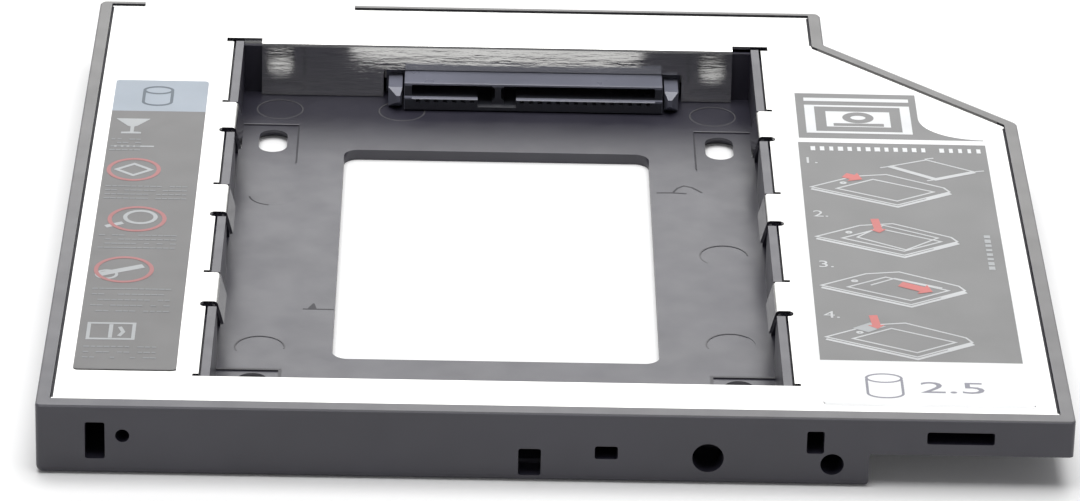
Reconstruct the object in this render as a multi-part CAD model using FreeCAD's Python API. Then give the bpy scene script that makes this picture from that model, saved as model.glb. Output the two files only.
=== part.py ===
import FreeCAD, Part
import math
import os

# Drive mounting frame: a slim moulded tray that turns an optical drive's bay
# into a bay for one 2.5 inch drive. A folded sheet covers the tray around the
# drive bay, and a small board at the rear joins the drive socket to the host
# plug. X runs to the right, Y to the rear and Z up, in millimetres. The origin
# is the middle of the outline, on the plane of the underside.

# Plan sizes, which add up to the outline
LEFT_COLUMN = 21.0        # left outer face to the drive bay
BAY_WIDTH = 71.4          # 69.85 mm drive with room for the side springs
SHOULDER = 10.4           # drive bay to the step under the wing
WING_WIDTH = 25.2         # step to the right outer face
FRONT_STRIP = 9.0         # front face to the drive bay
BAY_LENGTH = 103.65       # front of the bay to the sheet flange behind it
REAR_DEPTH = 13.45        # sheet flange to the rear face
CHAMFER_SETBACK = 11.15   # rear face to the start of the slanted wall
CHAMFER_RUN = 25.8        # length of the slanted wall along Y

# Heights
HEIGHT = 9.5
FLOOR = 1.5
WING_UNDERSIDE = 4.6
WING_FLOOR = 1.2
COVER_SINK = 0.2          # sheet lies this far below the rim
COVER_SHEET = 0.4
COVER_PLAY = 0.12         # sheet to the rim around it

# Walls of the tray
WALL_LEFT = 1.7
WALL_FRONT = 2.0
WALL_RIGHT = 1.75
WALL_SLANT = 1.65
WALL_REAR = 0.85
WALL_NECK = 1.7           # right wall of the narrow rear part
WALL_STEP = 1.5           # wall between the deep part and the wing
WALL_BAY_FRONT = 2.0
LEDGE = 0.8               # seat under the edge of the sheet
REAR_CORNER = 1.0
FRONT_CORNER = 0.6
SLANT_CORNER = 1.2
STEP_EDGE = 1.0           # rounding under the step
RIM_EDGE = 0.2
RIM_CORNER = 0.15         # smallest rounding inside the rim
HOLLOW_CORNER = 0.5
COVER_CORNER = 0.3        # front corners of the sheet
COVER_SLANT_CORNERS = (0.8, 1.2)
COVER_REAR_CORNER = 0.5

# Rails at both sides of the drive bay
RAIL_WIDTH = 3.0
RAIL_REAR_OVERLAP = 1.2   # rail runs past the flange by this much
STRIP_WIDTH = 1.1         # raised strip that stays bare beside the sheet
STRIP_GAP = 0.3
TAB_LENGTH = 8.4
TAB_PITCH = 26.8
TAB_COUNT = 3
TAB_SETBACK = 24.8        # flange to the middle of the rear tab
TAB_DROP = 3.2
TAB_FLARE = 0.85
TAB_BEND = 0.6
TAB_POCKET = 0.6
TAB_PLAY = 0.1            # tab to the ends of its pocket
TAB_ROOT = 0.5            # tab's overlap with the flat sheet
RELIEF_LENGTH = 1.5       # open notch in front of each tab
RELIEF_WIDTH = 2.15
RELIEF_CORNER = 0.65
HOOK_LENGTH = 0.65        # slit behind each tab
HOOK_WIDTH = 0.75
WELL_DEPTH = 1.5          # hollow in the rail under each notch
GROOVE_DEPTH = 1.5        # groove in the rail under the strip's gap
GROOVE_WIDTH = 0.5

# Cross ribs in the hollow side columns
RIB = 1.0
RIB_PITCH = 26.8

# Floor window and the four slots for the drive's screws
WINDOW_LEFT = 14.65       # bay wall to the window
WINDOW_RIGHT = 14.6
WINDOW_FRONT = 20.85
WINDOW_REAR = 18.6
WINDOW_CORNER = 2.0
SLOT_SPACING_X = 62.0
SLOT_SPACING_Y = 74.8
SLOT_SETBACK = 15.8       # flange to the middle of the rear slots
SLOT_WIDTH = 3.9
SLOT_LENGTH = 7.3
SLOT_SINK = 1.0           # countersink on the underside
PAD_WIDTH = 8.15          # sunken pad, measured from the bay wall
PAD_LENGTH = 13.2
PAD_SINK = 0.15
PAD_REAR_MARGIN = 1.6     # slot end to the rear edge of a rear pad
PAD_FRONT_MARGIN = 0.8    # slot end to the rear edge of a front pad
EJECTOR_RADIUS = 3.2
EJECTOR_SINK = 0.05
EJECTOR_OFFSET = 30.4     # from the bay's middle line
EJECTORS_BEHIND = 5.4     # rear row, from the flange
EJECTOR_SOCKET = 0.3      # mark beside the socket
EJECTORS_LEFT = (33.8, 79.85)    # from the flange
EJECTORS_RIGHT = (50.5, 76.95)

# Rear flange of the sheet and its cut-out for the drive socket
FLANGE_SIDE_GAP = 2.55
FLANGE_FLOOR_GAP = 0.1
FLANGE_LEAN = 0.6         # foot in front of the bend
FLANGE_BEND = 0.45
FLANGE_ROOT = 1.0
FLANGE_NOTCH = 1.1        # bend relief at each end of the flange
FLANGE_NOTCH_OUT = 2.4    # relief runs this far past the bay wall
FLANGE_NOTCH_EDGE = 0.25
CUTOUT_GAP_LEFT = 0.75
CUTOUT_GAP_RIGHT = 0.55
CUTOUT_GAP_TOP = 0.15
CUTOUT_CORNER = 0.4
RETURN_LAP = 1.5          # tray's return wall behind each end of the flange
RETURN_PLAY = 0.15
RETURN_DROP = 0.3         # return wall's top below the sheet

# Drive socket: nose with a keyed mouth, and a guide ear at each side
SOCKET_SHIFT = 5.15       # bay's middle line to the socket's middle
SOCKET_WIDTH = 36.3
SOCKET_REACH = 4.4        # nose in front of the flange
SOCKET_UNDER = 1.75
SOCKET_TOP = 5.45
SOCKET_LENGTH = 9.6
SOCKET_LIP = 0.3          # wall above the mouth
SOCKET_EDGE = 0.15        # rounding of the nose's top
MOUTH_SIDE = 1.05
MOUTH_FLOOR = 3.55
MOUTH_DEPTH = 5.3
JAW_REACH = 0.8           # lower jaw in front of the nose
LEAD_IN = 0.5             # sloped front edge of the mouth's floor
LEAD_DROP = 0.2
KEY_FLOOR = 2.45
KEY_FROM_SIGNAL = 3.61    # last signal contact to the middle of the key
KEY_WEB = 0.85
KEY_HEAD = 1.75
KEY_FLARE = 0.45          # slope between the key's web and its heads
KEY_NECK = 0.35
KEY_HALF_LEFT = 2.87      # key's middle to the end of the deep mouth
KEY_HALF_RIGHT = 2.55
EAR_WIDTH = 1.95
EAR_GAP = 0.3
EAR_TOP = 4.6
EAR_TIP = 1.6
EAR_TIP_DROP = 0.65       # fall of the tip's top
EAR_TIP_WIDTH = 0.5
EAR_TIP_HEIGHT = 1.0
EAR_EDGE = 0.12
EAR_TIP_PLACES = {-1: 0.8, 1: 0.35}    # share of the spare width left of the tip
EAR_START = 0.4           # ear's bevel starts this far behind the nose
SOCKET_BASE_SIDE = 0.35
SOCKET_BASE_GAP = 0.6     # socket's broad base behind the flange
SIGNAL_COUNT = 7
POWER_COUNT = 15
SIGNAL_SIDE = 1.94        # nose's left side to the first signal contact
ROW_GAP = 7.0             # last signal contact to the first power contact
POWER_SIDE = 1.96
CONTACT_WIDTH = 0.5
CONTACT_THICK = 0.25
CONTACT_PLAY = 0.05
CONTACT_HUMP = 0.35
CONTACT_RAMP = 0.9        # half length of the hump
CONTACT_START = 1.0       # nose's front to the contact
CONTACT_SEAT = 0.5        # slot's reach into the end of the mouth
CONTACT_FOOT = 1.0
POCKET_WIDTH = 0.6
POCKET_HEIGHT = 0.5
POCKET_DEPTH = 0.6
POCKET_BELOW_LIP = 0.2

# Host plug at the rear left
PLUG_LEFT = 6.8           # left outer face to the plug
PLUG_WIDTH = 29.1
PLUG_GAP = 0.4            # plug to the sides of the rear opening
PLUG_SINK = 0.15          # plug's face below the rear face
PLUG_LENGTH = 7.7
PLUG_UNDER = 1.8
PLUG_WALL = 0.5
PLUG_MOUTH_SIDE = 2.2
PLUG_MOUTH_DEPTH = 5.2
TONGUE_THICK = 1.2
TONGUE_UNDER = 0.8
TONGUE_SETBACK = 0.6
TONGUE_SIGNAL_WIDTH = 10.2
TONGUE_POWER_WIDTH = 7.6
TONGUE_GAP = 2.4
TONGUE_LEG = 1.1
HOST_SIGNAL_COUNT = 7
HOST_POWER_COUNT = 6
HOST_SIGNAL_PITCH = 1.27
HOST_POWER_PITCH = 1.0
HOST_CONTACT_WIDTH = 0.45
HOST_CONTACT_THICK = 0.15
HOST_CONTACT_SETBACK = 1.0    # plug's face to the end of a contact

# Adapter board, its screws, hold-downs and parts
BOARD_THICK = 1.0
BOARD_LEFT = 3.4          # left outer face to the board
BOARD_RIGHT_SPARE = 6.4   # board past the socket's right ear
BOARD_CORNER = 0.8
BOARD_FRONT_GAP = 0.3     # board behind the rails
BOARD_REAR_GAP = 0.5
SCREW_SHANK = 1.6
SCREW_PLAY = 0.1
SCREW_HEAD = 3.6
SCREW_HEAD_HEIGHT = 1.2
SCREW_LENGTH = 4.0
SCREW_RECESS = 0.6
SCREW_BLADE = 0.5
SCREW_RECESS_REACH = 1.0
SCREW_HEAD_EDGE = 0.5
BOARD_HOLE_PLAY = 0.3
BOSS_RADIUS = 1.9
BOSS_BORE_SPARE = 0.3
SCREW_FROM_SOCKET = 4.0   # ear to the right screw's axis
SCREW_INSET = 2.0         # board's edges to a screw's axis
POST_RADIUS = 1.2
POST_INSET = 1.7          # board's rear right corner to its post
HOLDDOWN_WIDTH = 1.6
HOLDDOWN_THICK = 0.3
HOLDDOWN_FOOT = 1.2
HOLDDOWN_HEIGHT = 2.0
PLUG_LUG_SETBACK = 3.0    # plug's face to the middle of its lugs
HOLDDOWN_BEND = 0.2
# Small parts: count, place of the first one, pitch, then length, width, height
FILTER_CAPACITORS = (2, 9.0, 5.0, (3.5, 2.8, 1.9))
CERAMIC_CAPACITORS = (4, 6.0, 2.6, (1.6, 0.8, 0.8))
RESISTORS = (3, 8.0, 2.6, (1.6, 0.8, 0.5))

# Labels on the sheet
LABEL_THICK = 0.1
LABEL_CORNER = 0.6
LABEL_MARGIN = 0.6
CAUTION_LEFT = 3.95
CAUTION_WIDTH = 12.8
CAUTION_FRONT = 10.3
CAUTION_LENGTH = 88.4
GUIDE_FROM_BAY = 4.7
GUIDE_RIGHT = 4.5
GUIDE_FRONT = 4.25
GUIDE_REAR = 27.05
GUIDE_NOTCH_X = 13.1
GUIDE_NOTCH_Y = 41.75
GUIDE_NOTCH_RADIUS = 5.0

# Holes of the front wall: latch windows and openings of the bezel. Each row
# has the middle's distance from its datum, the middle's height, width, height.
HOLES_FROM_LEFT = (
    (7.3, 4.75, 2.45, 5.0),
)
HOLES_FROM_BAY = (
    (39.85, 2.75, 2.8, 3.65),
    (49.3, 4.2, 2.85, 1.75),
)
HOLES_FROM_STEP = (
    (-6.75, 6.1, 2.15, 3.05),
)
HOLES_FROM_RIGHT = (
    (-14.05, 6.95, 8.35, 1.65),
)
HOLE_CORNER = 0.3
HOLE_RUN_OUT = 0.5        # holes end this far inside the hollow
# Round holes: distance from the datum, height of the axis, diameter
ROUND_FROM_LEFT = ((10.7, 5.45, 1.75),)
ROUND_FROM_BAY = ((61.85, 3.7, 3.9),)
ROUND_FROM_STEP = ((-4.6, 3.1, 2.9),)

# Places that follow from the sizes above
WIDTH = LEFT_COLUMN + BAY_WIDTH + SHOULDER + WING_WIDTH
DEPTH = FRONT_STRIP + BAY_LENGTH + REAR_DEPTH
X_LEFT = -WIDTH / 2
X_RIGHT = WIDTH / 2
Y_FRONT = -DEPTH / 2
Y_REAR = DEPTH / 2
BAY_LEFT = X_LEFT + LEFT_COLUMN
BAY_RIGHT = BAY_LEFT + BAY_WIDTH
BAY_MIDDLE = (BAY_LEFT + BAY_RIGHT) / 2
BAY_FRONT = Y_FRONT + FRONT_STRIP
FLANGE_Y = BAY_FRONT + BAY_LENGTH
STEP_X = BAY_RIGHT + SHOULDER
SLANT_REAR = Y_REAR - CHAMFER_SETBACK
SLANT_FRONT = SLANT_REAR - CHAMFER_RUN
COVER_TOP = HEIGHT - COVER_SINK
SEAT = COVER_TOP - COVER_SHEET
RAIL_REAR = FLANGE_Y + RAIL_REAR_OVERLAP

SOCKET_LEFT = BAY_MIDDLE + SOCKET_SHIFT - SOCKET_WIDTH / 2
SOCKET_RIGHT = SOCKET_LEFT + SOCKET_WIDTH
SOCKET_FRONT = FLANGE_Y - SOCKET_REACH
SOCKET_REAR = SOCKET_FRONT + SOCKET_LENGTH
JAW_FRONT = SOCKET_FRONT - JAW_REACH
SOCKET_BASE_FRONT = FLANGE_Y + COVER_SHEET + SOCKET_BASE_GAP
EAR_LEFT = SOCKET_LEFT - EAR_GAP - EAR_WIDTH
EAR_RIGHT = SOCKET_RIGHT + EAR_GAP + EAR_WIDTH
CONTACT_STEPS = SIGNAL_COUNT + POWER_COUNT - 2
CONTACT_PITCH = (SOCKET_WIDTH - SIGNAL_SIDE - ROW_GAP - POWER_SIDE) / CONTACT_STEPS
LAST_SIGNAL = SOCKET_LEFT + SIGNAL_SIDE + (SIGNAL_COUNT - 1) * CONTACT_PITCH
KEY_X = LAST_SIGNAL + KEY_FROM_SIGNAL

PLUG_X0 = X_LEFT + PLUG_LEFT
PLUG_X1 = PLUG_X0 + PLUG_WIDTH
PLUG_REAR = Y_REAR - PLUG_SINK
PLUG_FRONT = PLUG_REAR - PLUG_LENGTH
BOARD_UNDER = SOCKET_TOP
BOARD_TOP = BOARD_UNDER + BOARD_THICK
BOARD_X0 = X_LEFT + BOARD_LEFT
BOARD_X1 = EAR_RIGHT + BOARD_RIGHT_SPARE
BOARD_Y0 = RAIL_REAR + BOARD_FRONT_GAP
BOARD_Y1 = Y_REAR - WALL_REAR - LEDGE - BOARD_REAR_GAP
SCREW_PLACES = {
    "left": (BOARD_X0 + SCREW_INSET, BOARD_Y0 + SCREW_INSET),
    "right": (EAR_RIGHT + SCREW_FROM_SOCKET, BOARD_Y0 + SCREW_INSET),
}
SLOT_REAR_Y = FLANGE_Y - SLOT_SETBACK
SLOT_FRONT_Y = SLOT_REAR_Y - SLOT_SPACING_Y


def vec(x, y, z=0.0):
    return FreeCAD.Vector(x, y, z)


def block(x0, x1, y0, y1, z0, z1):
    return Part.makeBox(x1 - x0, y1 - y0, z1 - z0, vec(x0, y0, z0))


def join(shapes):
    """One clean solid, or separate ones where they don't touch."""
    first = shapes[0]
    if len(shapes) > 1:
        first = first.fuse(shapes[1:])
    return first.removeSplitter()


def near(a, b):
    return abs(a - b) < 1e-6


def edges_where(shape, test):
    """Edges of a shape whose end points all pass a test."""
    return [edge for edge in shape.Edges if all(test(v) for v in edge.Vertexes)]


def on_plan(u, v):
    return vec(u, v, 0.0)


def on_front(u, v):
    return vec(u, 0.0, v)


def on_side(u, v):
    return vec(0.0, u, v)


def outline(points, radii, place=on_plan):
    """Face through the points, with an arc wherever the radius isn't zero."""
    edges = []
    corners = [place(u, v) for u, v in points]
    starts = []
    arcs = []
    ends = []
    for i, corner in enumerate(corners):
        back = (corners[i - 1] - corner).normalize()
        ahead = (corners[(i + 1) % len(corners)] - corner).normalize()
        radius = radii[i]
        if radius <= 0:
            starts.append(corner)
            arcs.append(None)
            ends.append(corner)
            continue
        half = back.getAngle(ahead) / 2
        tangent = radius / math.tan(half)
        middle = (back + ahead).normalize()
        start = corner + back * tangent
        end = corner + ahead * tangent
        apex = corner + middle * (radius / math.sin(half) - radius)
        starts.append(start)
        arcs.append(Part.Arc(start, apex, end).toShape())
        ends.append(end)
    for i in range(len(corners)):
        if arcs[i] is not None:
            edges.append(arcs[i])
        end = ends[i]
        start = starts[(i + 1) % len(corners)]
        if (start - end).Length > 1e-6:
            edges.append(Part.LineSegment(end, start).toShape())
    return Part.Face(Part.Wire(edges))


def slab(points, radii, z0, z1):
    """Plan outline made into a plate between two heights."""
    face = outline(points, radii)
    face.translate(vec(0, 0, z0))
    return face.extrude(vec(0, 0, z1 - z0))


def inset(points, walls):
    """Closed outline moved inwards, each side by its own wall, anticlockwise."""
    lines = []
    for i, (x0, y0) in enumerate(points):
        x1, y1 = points[(i + 1) % len(points)]
        length = math.hypot(x1 - x0, y1 - y0)
        nx = -(y1 - y0) / length
        ny = (x1 - x0) / length
        lines.append((nx, ny, nx * x0 + ny * y0 + walls[i]))
    moved = []
    for i in range(len(points)):
        a1, b1, c1 = lines[i - 1]
        a2, b2, c2 = lines[i]
        det = a1 * b2 - a2 * b1
        moved.append(((c1 * b2 - c2 * b1) / det, (a1 * c2 - a2 * c1) / det))
    return moved


PLAN = (
    (X_LEFT, Y_FRONT),
    (X_RIGHT, Y_FRONT),
    (X_RIGHT, SLANT_FRONT),
    (STEP_X, SLANT_REAR),
    (STEP_X, Y_REAR),
    (X_LEFT, Y_REAR),
)
PLAN_RADII = (FRONT_CORNER, FRONT_CORNER, SLANT_CORNER, SLANT_CORNER, REAR_CORNER, REAR_CORNER)
COVER_RADII = (COVER_CORNER, COVER_CORNER) + COVER_SLANT_CORNERS + (COVER_REAR_CORNER, COVER_REAR_CORNER)
PLAN_WALLS = (WALL_FRONT, WALL_RIGHT, WALL_SLANT, WALL_NECK, WALL_REAR, WALL_LEFT)


def cavity(extra):
    return inset(PLAN, [wall + extra for wall in PLAN_WALLS])


def tab_middles():
    first = FLANGE_Y - TAB_SETBACK
    return [first - i * TAB_PITCH for i in range(TAB_COUNT)]


def tab_spans():
    """Rear and front end of each tab."""
    return [(middle + TAB_LENGTH / 2, middle - TAB_LENGTH / 2) for middle in tab_middles()]


def rail_side(offset, side):
    """X of a place that lies offset outside the bay wall on the given side."""
    return BAY_LEFT - offset if side < 0 else BAY_RIGHT + offset


def rail_block(inner, outer, y0, y1, z0, z1, side):
    xs = sorted((rail_side(inner, side), rail_side(outer, side)))
    return block(xs[0], xs[1], y0, y1, z0, z1)


def strip_spans():
    """Stretches of bare rail strip between the tabs, rear end first."""
    spans = []
    rear = FLANGE_Y + FLANGE_BEND
    for tab_rear, tab_front in tab_spans():
        spans.append((rear, tab_rear + TAB_PLAY))
        rear = tab_front - RELIEF_LENGTH
    spans.append((rear, BAY_FRONT))
    return spans


def tray_shell():
    """Outer form with its step and wing, hollowed from above."""
    deep = slab(
        ((X_LEFT, Y_FRONT), (STEP_X, Y_FRONT), (STEP_X, Y_REAR), (X_LEFT, Y_REAR)),
        (FRONT_CORNER, 0, REAR_CORNER, REAR_CORNER),
        0,
        HEIGHT,
    )
    step_edge = edges_where(deep, lambda v: near(v.X, STEP_X) and near(v.Z, 0))
    deep = deep.makeFillet(STEP_EDGE, step_edge)
    whole = join([deep, slab(PLAN, PLAN_RADII, WING_UNDERSIDE, HEIGHT)])
    whole = whole.makeChamfer(RIM_EDGE, edges_where(whole, lambda v: near(v.Z, HEIGHT)))
    rim = [max(radius - WALL_REAR, RIM_CORNER) for radius in PLAN_RADII]
    hollow = slab(cavity(0), rim, SEAT, HEIGHT + 1)
    inner = cavity(LEDGE)
    low_side = STEP_X - WALL_STEP
    high = slab(inner, [HOLLOW_CORNER] * len(inner), WING_UNDERSIDE + WING_FLOOR, SEAT)
    low_box = block(X_LEFT, low_side, Y_FRONT, Y_REAR, FLOOR, SEAT)
    low = slab(inner, [HOLLOW_CORNER] * len(inner), FLOOR, SEAT).common(low_box)
    return whole.cut([hollow, high, low])


def tray_rails():
    """Bay walls, the bare strips on top of them and the bay's front wall."""
    solids = []
    for side in (-1, 1):
        solids.append(
            rail_block(0, RAIL_WIDTH, BAY_FRONT - WALL_BAY_FRONT, RAIL_REAR, FLOOR / 2, SEAT, side)
        )
        for rear, front in strip_spans():
            solids.append(rail_block(0, STRIP_WIDTH, front, rear, FLOOR, COVER_TOP, side))
    solids.append(
        block(
            BAY_LEFT - RAIL_WIDTH,
            BAY_RIGHT + RAIL_WIDTH,
            BAY_FRONT - WALL_BAY_FRONT,
            BAY_FRONT,
            FLOOR / 2,
            SEAT,
        )
    )
    return solids


def tray_returns():
    """Short walls that close the gap at each end of the sheet's flange."""
    front = FLANGE_Y + COVER_SHEET + RETURN_PLAY
    span = (-FLANGE_SIDE_GAP - RETURN_LAP, 0, front, RAIL_REAR, FLOOR / 2, SEAT - RETURN_DROP)
    return [rail_block(*span, side) for side in (-1, 1)]


def tray_ribs():
    """Cross ribs that carry the sheet over the hollow side columns."""
    inner = cavity(LEDGE / 2)
    left_wall = inner[0][0]
    right_wall = inner[1][0]
    first = FLANGE_Y - TAB_SETBACK + RIB_PITCH / 2
    count = int((first - BAY_FRONT) / RIB_PITCH) + 1
    solids = []
    for i in range(count):
        y = first - i * RIB_PITCH
        solids.append(
            block(left_wall, BAY_LEFT - RAIL_WIDTH, y - RIB / 2, y + RIB / 2, FLOOR / 2, SEAT)
        )
        low_end = STEP_X - WALL_STEP / 2
        solids.append(
            block(BAY_RIGHT + RAIL_WIDTH, low_end, y - RIB / 2, y + RIB / 2, FLOOR / 2, SEAT)
        )
        if y + RIB < SLANT_FRONT:
            bottom = WING_UNDERSIDE + WING_FLOOR / 2
            solids.append(block(low_end, right_wall, y - RIB / 2, y + RIB / 2, bottom, SEAT))
    return solids


def tray_supports():
    """Screw bosses and a corner post under the adapter board."""
    solids = [
        Part.makeCylinder(BOSS_RADIUS, BOARD_UNDER - FLOOR / 2, vec(x, y, FLOOR / 2))
        for x, y in SCREW_PLACES.values()
    ]
    post = vec(BOARD_X1 - POST_INSET, BOARD_Y1 - POST_INSET, FLOOR / 2)
    solids.append(Part.makeCylinder(POST_RADIUS, BOARD_UNDER - FLOOR / 2, post))
    return solids


def obround(x, y, width, length, z0, z1):
    """Upright slot, rounded at both ends and long along Y."""
    half = width / 2
    run = length / 2 - half
    solids = [Part.makeCylinder(half, z1 - z0, vec(x, end, z0)) for end in (y - run, y + run)]
    solids.append(block(x - half, x + half, y - run, y + run, z0, z1))
    return join(solids)


def drive_slot_cut(x, y):
    """Through slot with a sloped seat for a countersunk head below."""
    through = obround(x, y, SLOT_WIDTH, SLOT_LENGTH, -1, FLOOR + 1)
    wide = SLOT_WIDTH / 2 + SLOT_SINK
    run = (SLOT_LENGTH - SLOT_WIDTH) / 2
    seats = []
    for end in (y - run, y + run):
        seats.append(Part.makeCone(wide, SLOT_WIDTH / 2, SLOT_SINK, vec(x, end, 0)))
    half = SLOT_WIDTH / 2
    profile = outline(
        ((x - wide, 0), (x + wide, 0), (x + half, SLOT_SINK), (x - half, SLOT_SINK)),
        (0, 0, 0, 0),
        on_front,
    )
    profile.translate(vec(0, y - run, 0))
    seats.append(profile.extrude(vec(0, 2 * run, 0)))
    return [through] + seats


def floor_cuts():
    """Window, sunken pads, screw slots and the round ejector marks."""
    window = slab(
        (
            (BAY_LEFT + WINDOW_LEFT, BAY_FRONT + WINDOW_FRONT),
            (BAY_RIGHT - WINDOW_RIGHT, BAY_FRONT + WINDOW_FRONT),
            (BAY_RIGHT - WINDOW_RIGHT, FLANGE_Y - WINDOW_REAR),
            (BAY_LEFT + WINDOW_LEFT, FLANGE_Y - WINDOW_REAR),
        ),
        [WINDOW_CORNER] * 4,
        -1,
        FLOOR + 1,
    )
    cuts = [window]
    rows = ((SLOT_REAR_Y, PAD_REAR_MARGIN), (SLOT_FRONT_Y, PAD_FRONT_MARGIN))
    for slot_y, margin in rows:
        pad_rear = slot_y + SLOT_LENGTH / 2 + margin
        for side in (-1, 1):
            cuts += drive_slot_cut(BAY_MIDDLE + side * SLOT_SPACING_X / 2, slot_y)
            cuts.append(
                rail_block(
                    -PAD_WIDTH, 0, pad_rear - PAD_LENGTH, pad_rear, FLOOR - PAD_SINK, FLOOR + 1, side
                )
            )
    left_x = BAY_MIDDLE - EJECTOR_OFFSET
    right_x = BAY_MIDDLE + EJECTOR_OFFSET
    behind = FLANGE_Y - EJECTORS_BEHIND
    marks = [(left_x, behind), (right_x, behind), (SOCKET_LEFT - EJECTOR_SOCKET, behind)]
    marks += [(left_x, FLANGE_Y - back) for back in EJECTORS_LEFT]
    marks += [(right_x, FLANGE_Y - back) for back in EJECTORS_RIGHT]
    for x, y in marks:
        cuts.append(Part.makeCylinder(EJECTOR_RADIUS, 1, vec(x, y, FLOOR - EJECTOR_SINK)))
    return cuts


def hook_starts():
    """Front end of the slit behind each tab, and of the one at the bay's front."""
    return [rear for rear, front in tab_spans()] + [BAY_FRONT]


def rail_cuts():
    """Pockets for the folded tabs, with the wells and grooves round them."""
    cuts = []
    groove = SEAT - GROOVE_DEPTH
    hook_out = STRIP_WIDTH + STRIP_GAP + HOOK_WIDTH
    for side in (-1, 1):
        for rear, front in tab_spans():
            pocket = (front - TAB_PLAY, rear + TAB_PLAY, FLOOR, HEIGHT)
            well = (front - RELIEF_LENGTH, front, SEAT - WELL_DEPTH, HEIGHT)
            cuts.append(rail_block(-1, TAB_POCKET, *pocket, side))
            cuts.append(rail_block(-1, RELIEF_WIDTH, *well, side))
        for rear, front in strip_spans():
            span = (front, rear, groove, HEIGHT)
            cuts.append(rail_block(STRIP_WIDTH, STRIP_WIDTH + GROOVE_WIDTH, *span, side))
        for start in hook_starts():
            slit = (start, start + HOOK_LENGTH, groove, HEIGHT)
            cuts.append(rail_block(STRIP_WIDTH, hook_out, *slit, side))
        notch = (FLANGE_Y + FLANGE_BEND, RAIL_REAR, groove, HEIGHT)
        cuts.append(rail_block(0, FLANGE_NOTCH_OUT, *notch, side))
    return cuts


def front_hole_cuts():
    """Windows and round holes through the front wall."""
    cuts = []
    reach = WALL_FRONT + LEDGE + HOLE_RUN_OUT + 1
    datums = (
        (X_LEFT, HOLES_FROM_LEFT, ROUND_FROM_LEFT),
        (BAY_LEFT, HOLES_FROM_BAY, ROUND_FROM_BAY),
        (STEP_X, HOLES_FROM_STEP, ROUND_FROM_STEP),
        (X_RIGHT, HOLES_FROM_RIGHT, ()),
    )
    for datum, windows, rounds in datums:
        for offset, z, width, height in windows:
            x = datum + offset
            points = (
                (x - width / 2, z - height / 2),
                (x + width / 2, z - height / 2),
                (x + width / 2, z + height / 2),
                (x - width / 2, z + height / 2),
            )
            face = outline(points, [HOLE_CORNER] * 4, on_front)
            face.translate(vec(0, Y_FRONT - 1, 0))
            cuts.append(face.extrude(vec(0, reach, 0)))
        for offset, z, diameter in rounds:
            centre = vec(datum + offset, Y_FRONT - 1, z)
            cuts.append(Part.makeCylinder(diameter / 2, reach, centre, vec(0, 1, 0)))
    return cuts


def base_frame():
    tray = join([tray_shell()] + tray_rails() + tray_returns() + tray_ribs() + tray_supports())
    cuts = floor_cuts() + rail_cuts() + front_hole_cuts()
    cuts.append(
        block(
            PLUG_X0 - PLUG_GAP,
            PLUG_X1 + PLUG_GAP,
            Y_REAR - WALL_REAR - LEDGE - 1,
            Y_REAR + 1,
            FLOOR,
            HEIGHT + 1,
        )
    )
    bore = SCREW_LENGTH - BOARD_THICK + BOSS_BORE_SPARE
    for x, y in SCREW_PLACES.values():
        cuts.append(
            Part.makeCylinder(
                (SCREW_SHANK + SCREW_PLAY) / 2, bore + 1, vec(x, y, BOARD_UNDER - bore)
            )
        )
    return tray.cut(cuts).removeSplitter()


def spring_tab(side, rear, front):
    """Side tab that folds over the rail and flares into the bay."""
    drop = vec(TAB_FLARE, -TAB_DROP).normalize()
    normal = vec(-TAB_DROP, -TAB_FLARE).normalize() * COVER_SHEET
    knee = vec(0, COVER_TOP)
    tip = knee + drop * math.hypot(TAB_FLARE, TAB_DROP)
    inner_start = knee + normal
    along = (SEAT - inner_start.y) / drop.y
    inner_knee = inner_start + drop * along
    root = -STRIP_WIDTH - STRIP_GAP - TAB_ROOT
    points = (
        (root, COVER_TOP),
        (knee.x, knee.y),
        (tip.x, tip.y),
        (tip.x + normal.x, tip.y + normal.y),
        (inner_knee.x, inner_knee.y),
        (root, SEAT),
    )
    if side < 0:
        placed = [(BAY_LEFT + u, z) for u, z in points]
    else:
        placed = [(BAY_RIGHT - u, z) for u, z in points]
    radii = (0, TAB_BEND, 0, 0, TAB_BEND - COVER_SHEET, 0)
    face = outline(placed, radii, on_front)
    face.translate(vec(0, front, 0))
    return face.extrude(vec(0, rear - front, 0))


def rear_flange():
    """Sheet folded down behind the bay, cut out around the drive socket."""
    low = FLOOR + FLANGE_FLOOR_GAP
    root = FLANGE_Y + FLANGE_BEND + FLANGE_ROOT
    knee = vec(FLANGE_Y, COVER_TOP)
    foot = vec(FLANGE_Y - FLANGE_LEAN, low)
    drop = (foot - knee).normalize()
    normal = vec(-drop.y, drop.x) * COVER_SHEET
    inner_knee = knee + normal
    inner_knee += drop * ((SEAT - inner_knee.y) / drop.y)
    points = (
        (root, COVER_TOP),
        (knee.x, knee.y),
        (foot.x, foot.y),
        (foot.x + normal.x, foot.y + normal.y),
        (inner_knee.x, inner_knee.y),
        (root, SEAT),
    )
    face = outline(points, (0, FLANGE_BEND, 0, 0, FLANGE_BEND - COVER_SHEET, 0), on_side)
    x0 = BAY_LEFT + FLANGE_SIDE_GAP
    x1 = BAY_RIGHT - FLANGE_SIDE_GAP
    face.translate(vec(x0, 0, 0))
    flange = face.extrude(vec(x1 - x0, 0, 0))
    top = SOCKET_TOP + CUTOUT_GAP_TOP
    cutout_points = (
        (EAR_LEFT - CUTOUT_GAP_LEFT, low - 1),
        (EAR_RIGHT + CUTOUT_GAP_RIGHT, low - 1),
        (EAR_RIGHT + CUTOUT_GAP_RIGHT, top),
        (EAR_LEFT - CUTOUT_GAP_LEFT, top),
    )
    cutout = outline(cutout_points, (0, 0, CUTOUT_CORNER, CUTOUT_CORNER), on_front)
    cutout.translate(vec(0, foot.x - 1, 0))
    return flange.cut(cutout.extrude(vec(0, FLANGE_LEAN + COVER_SHEET + 2, 0)))


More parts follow.
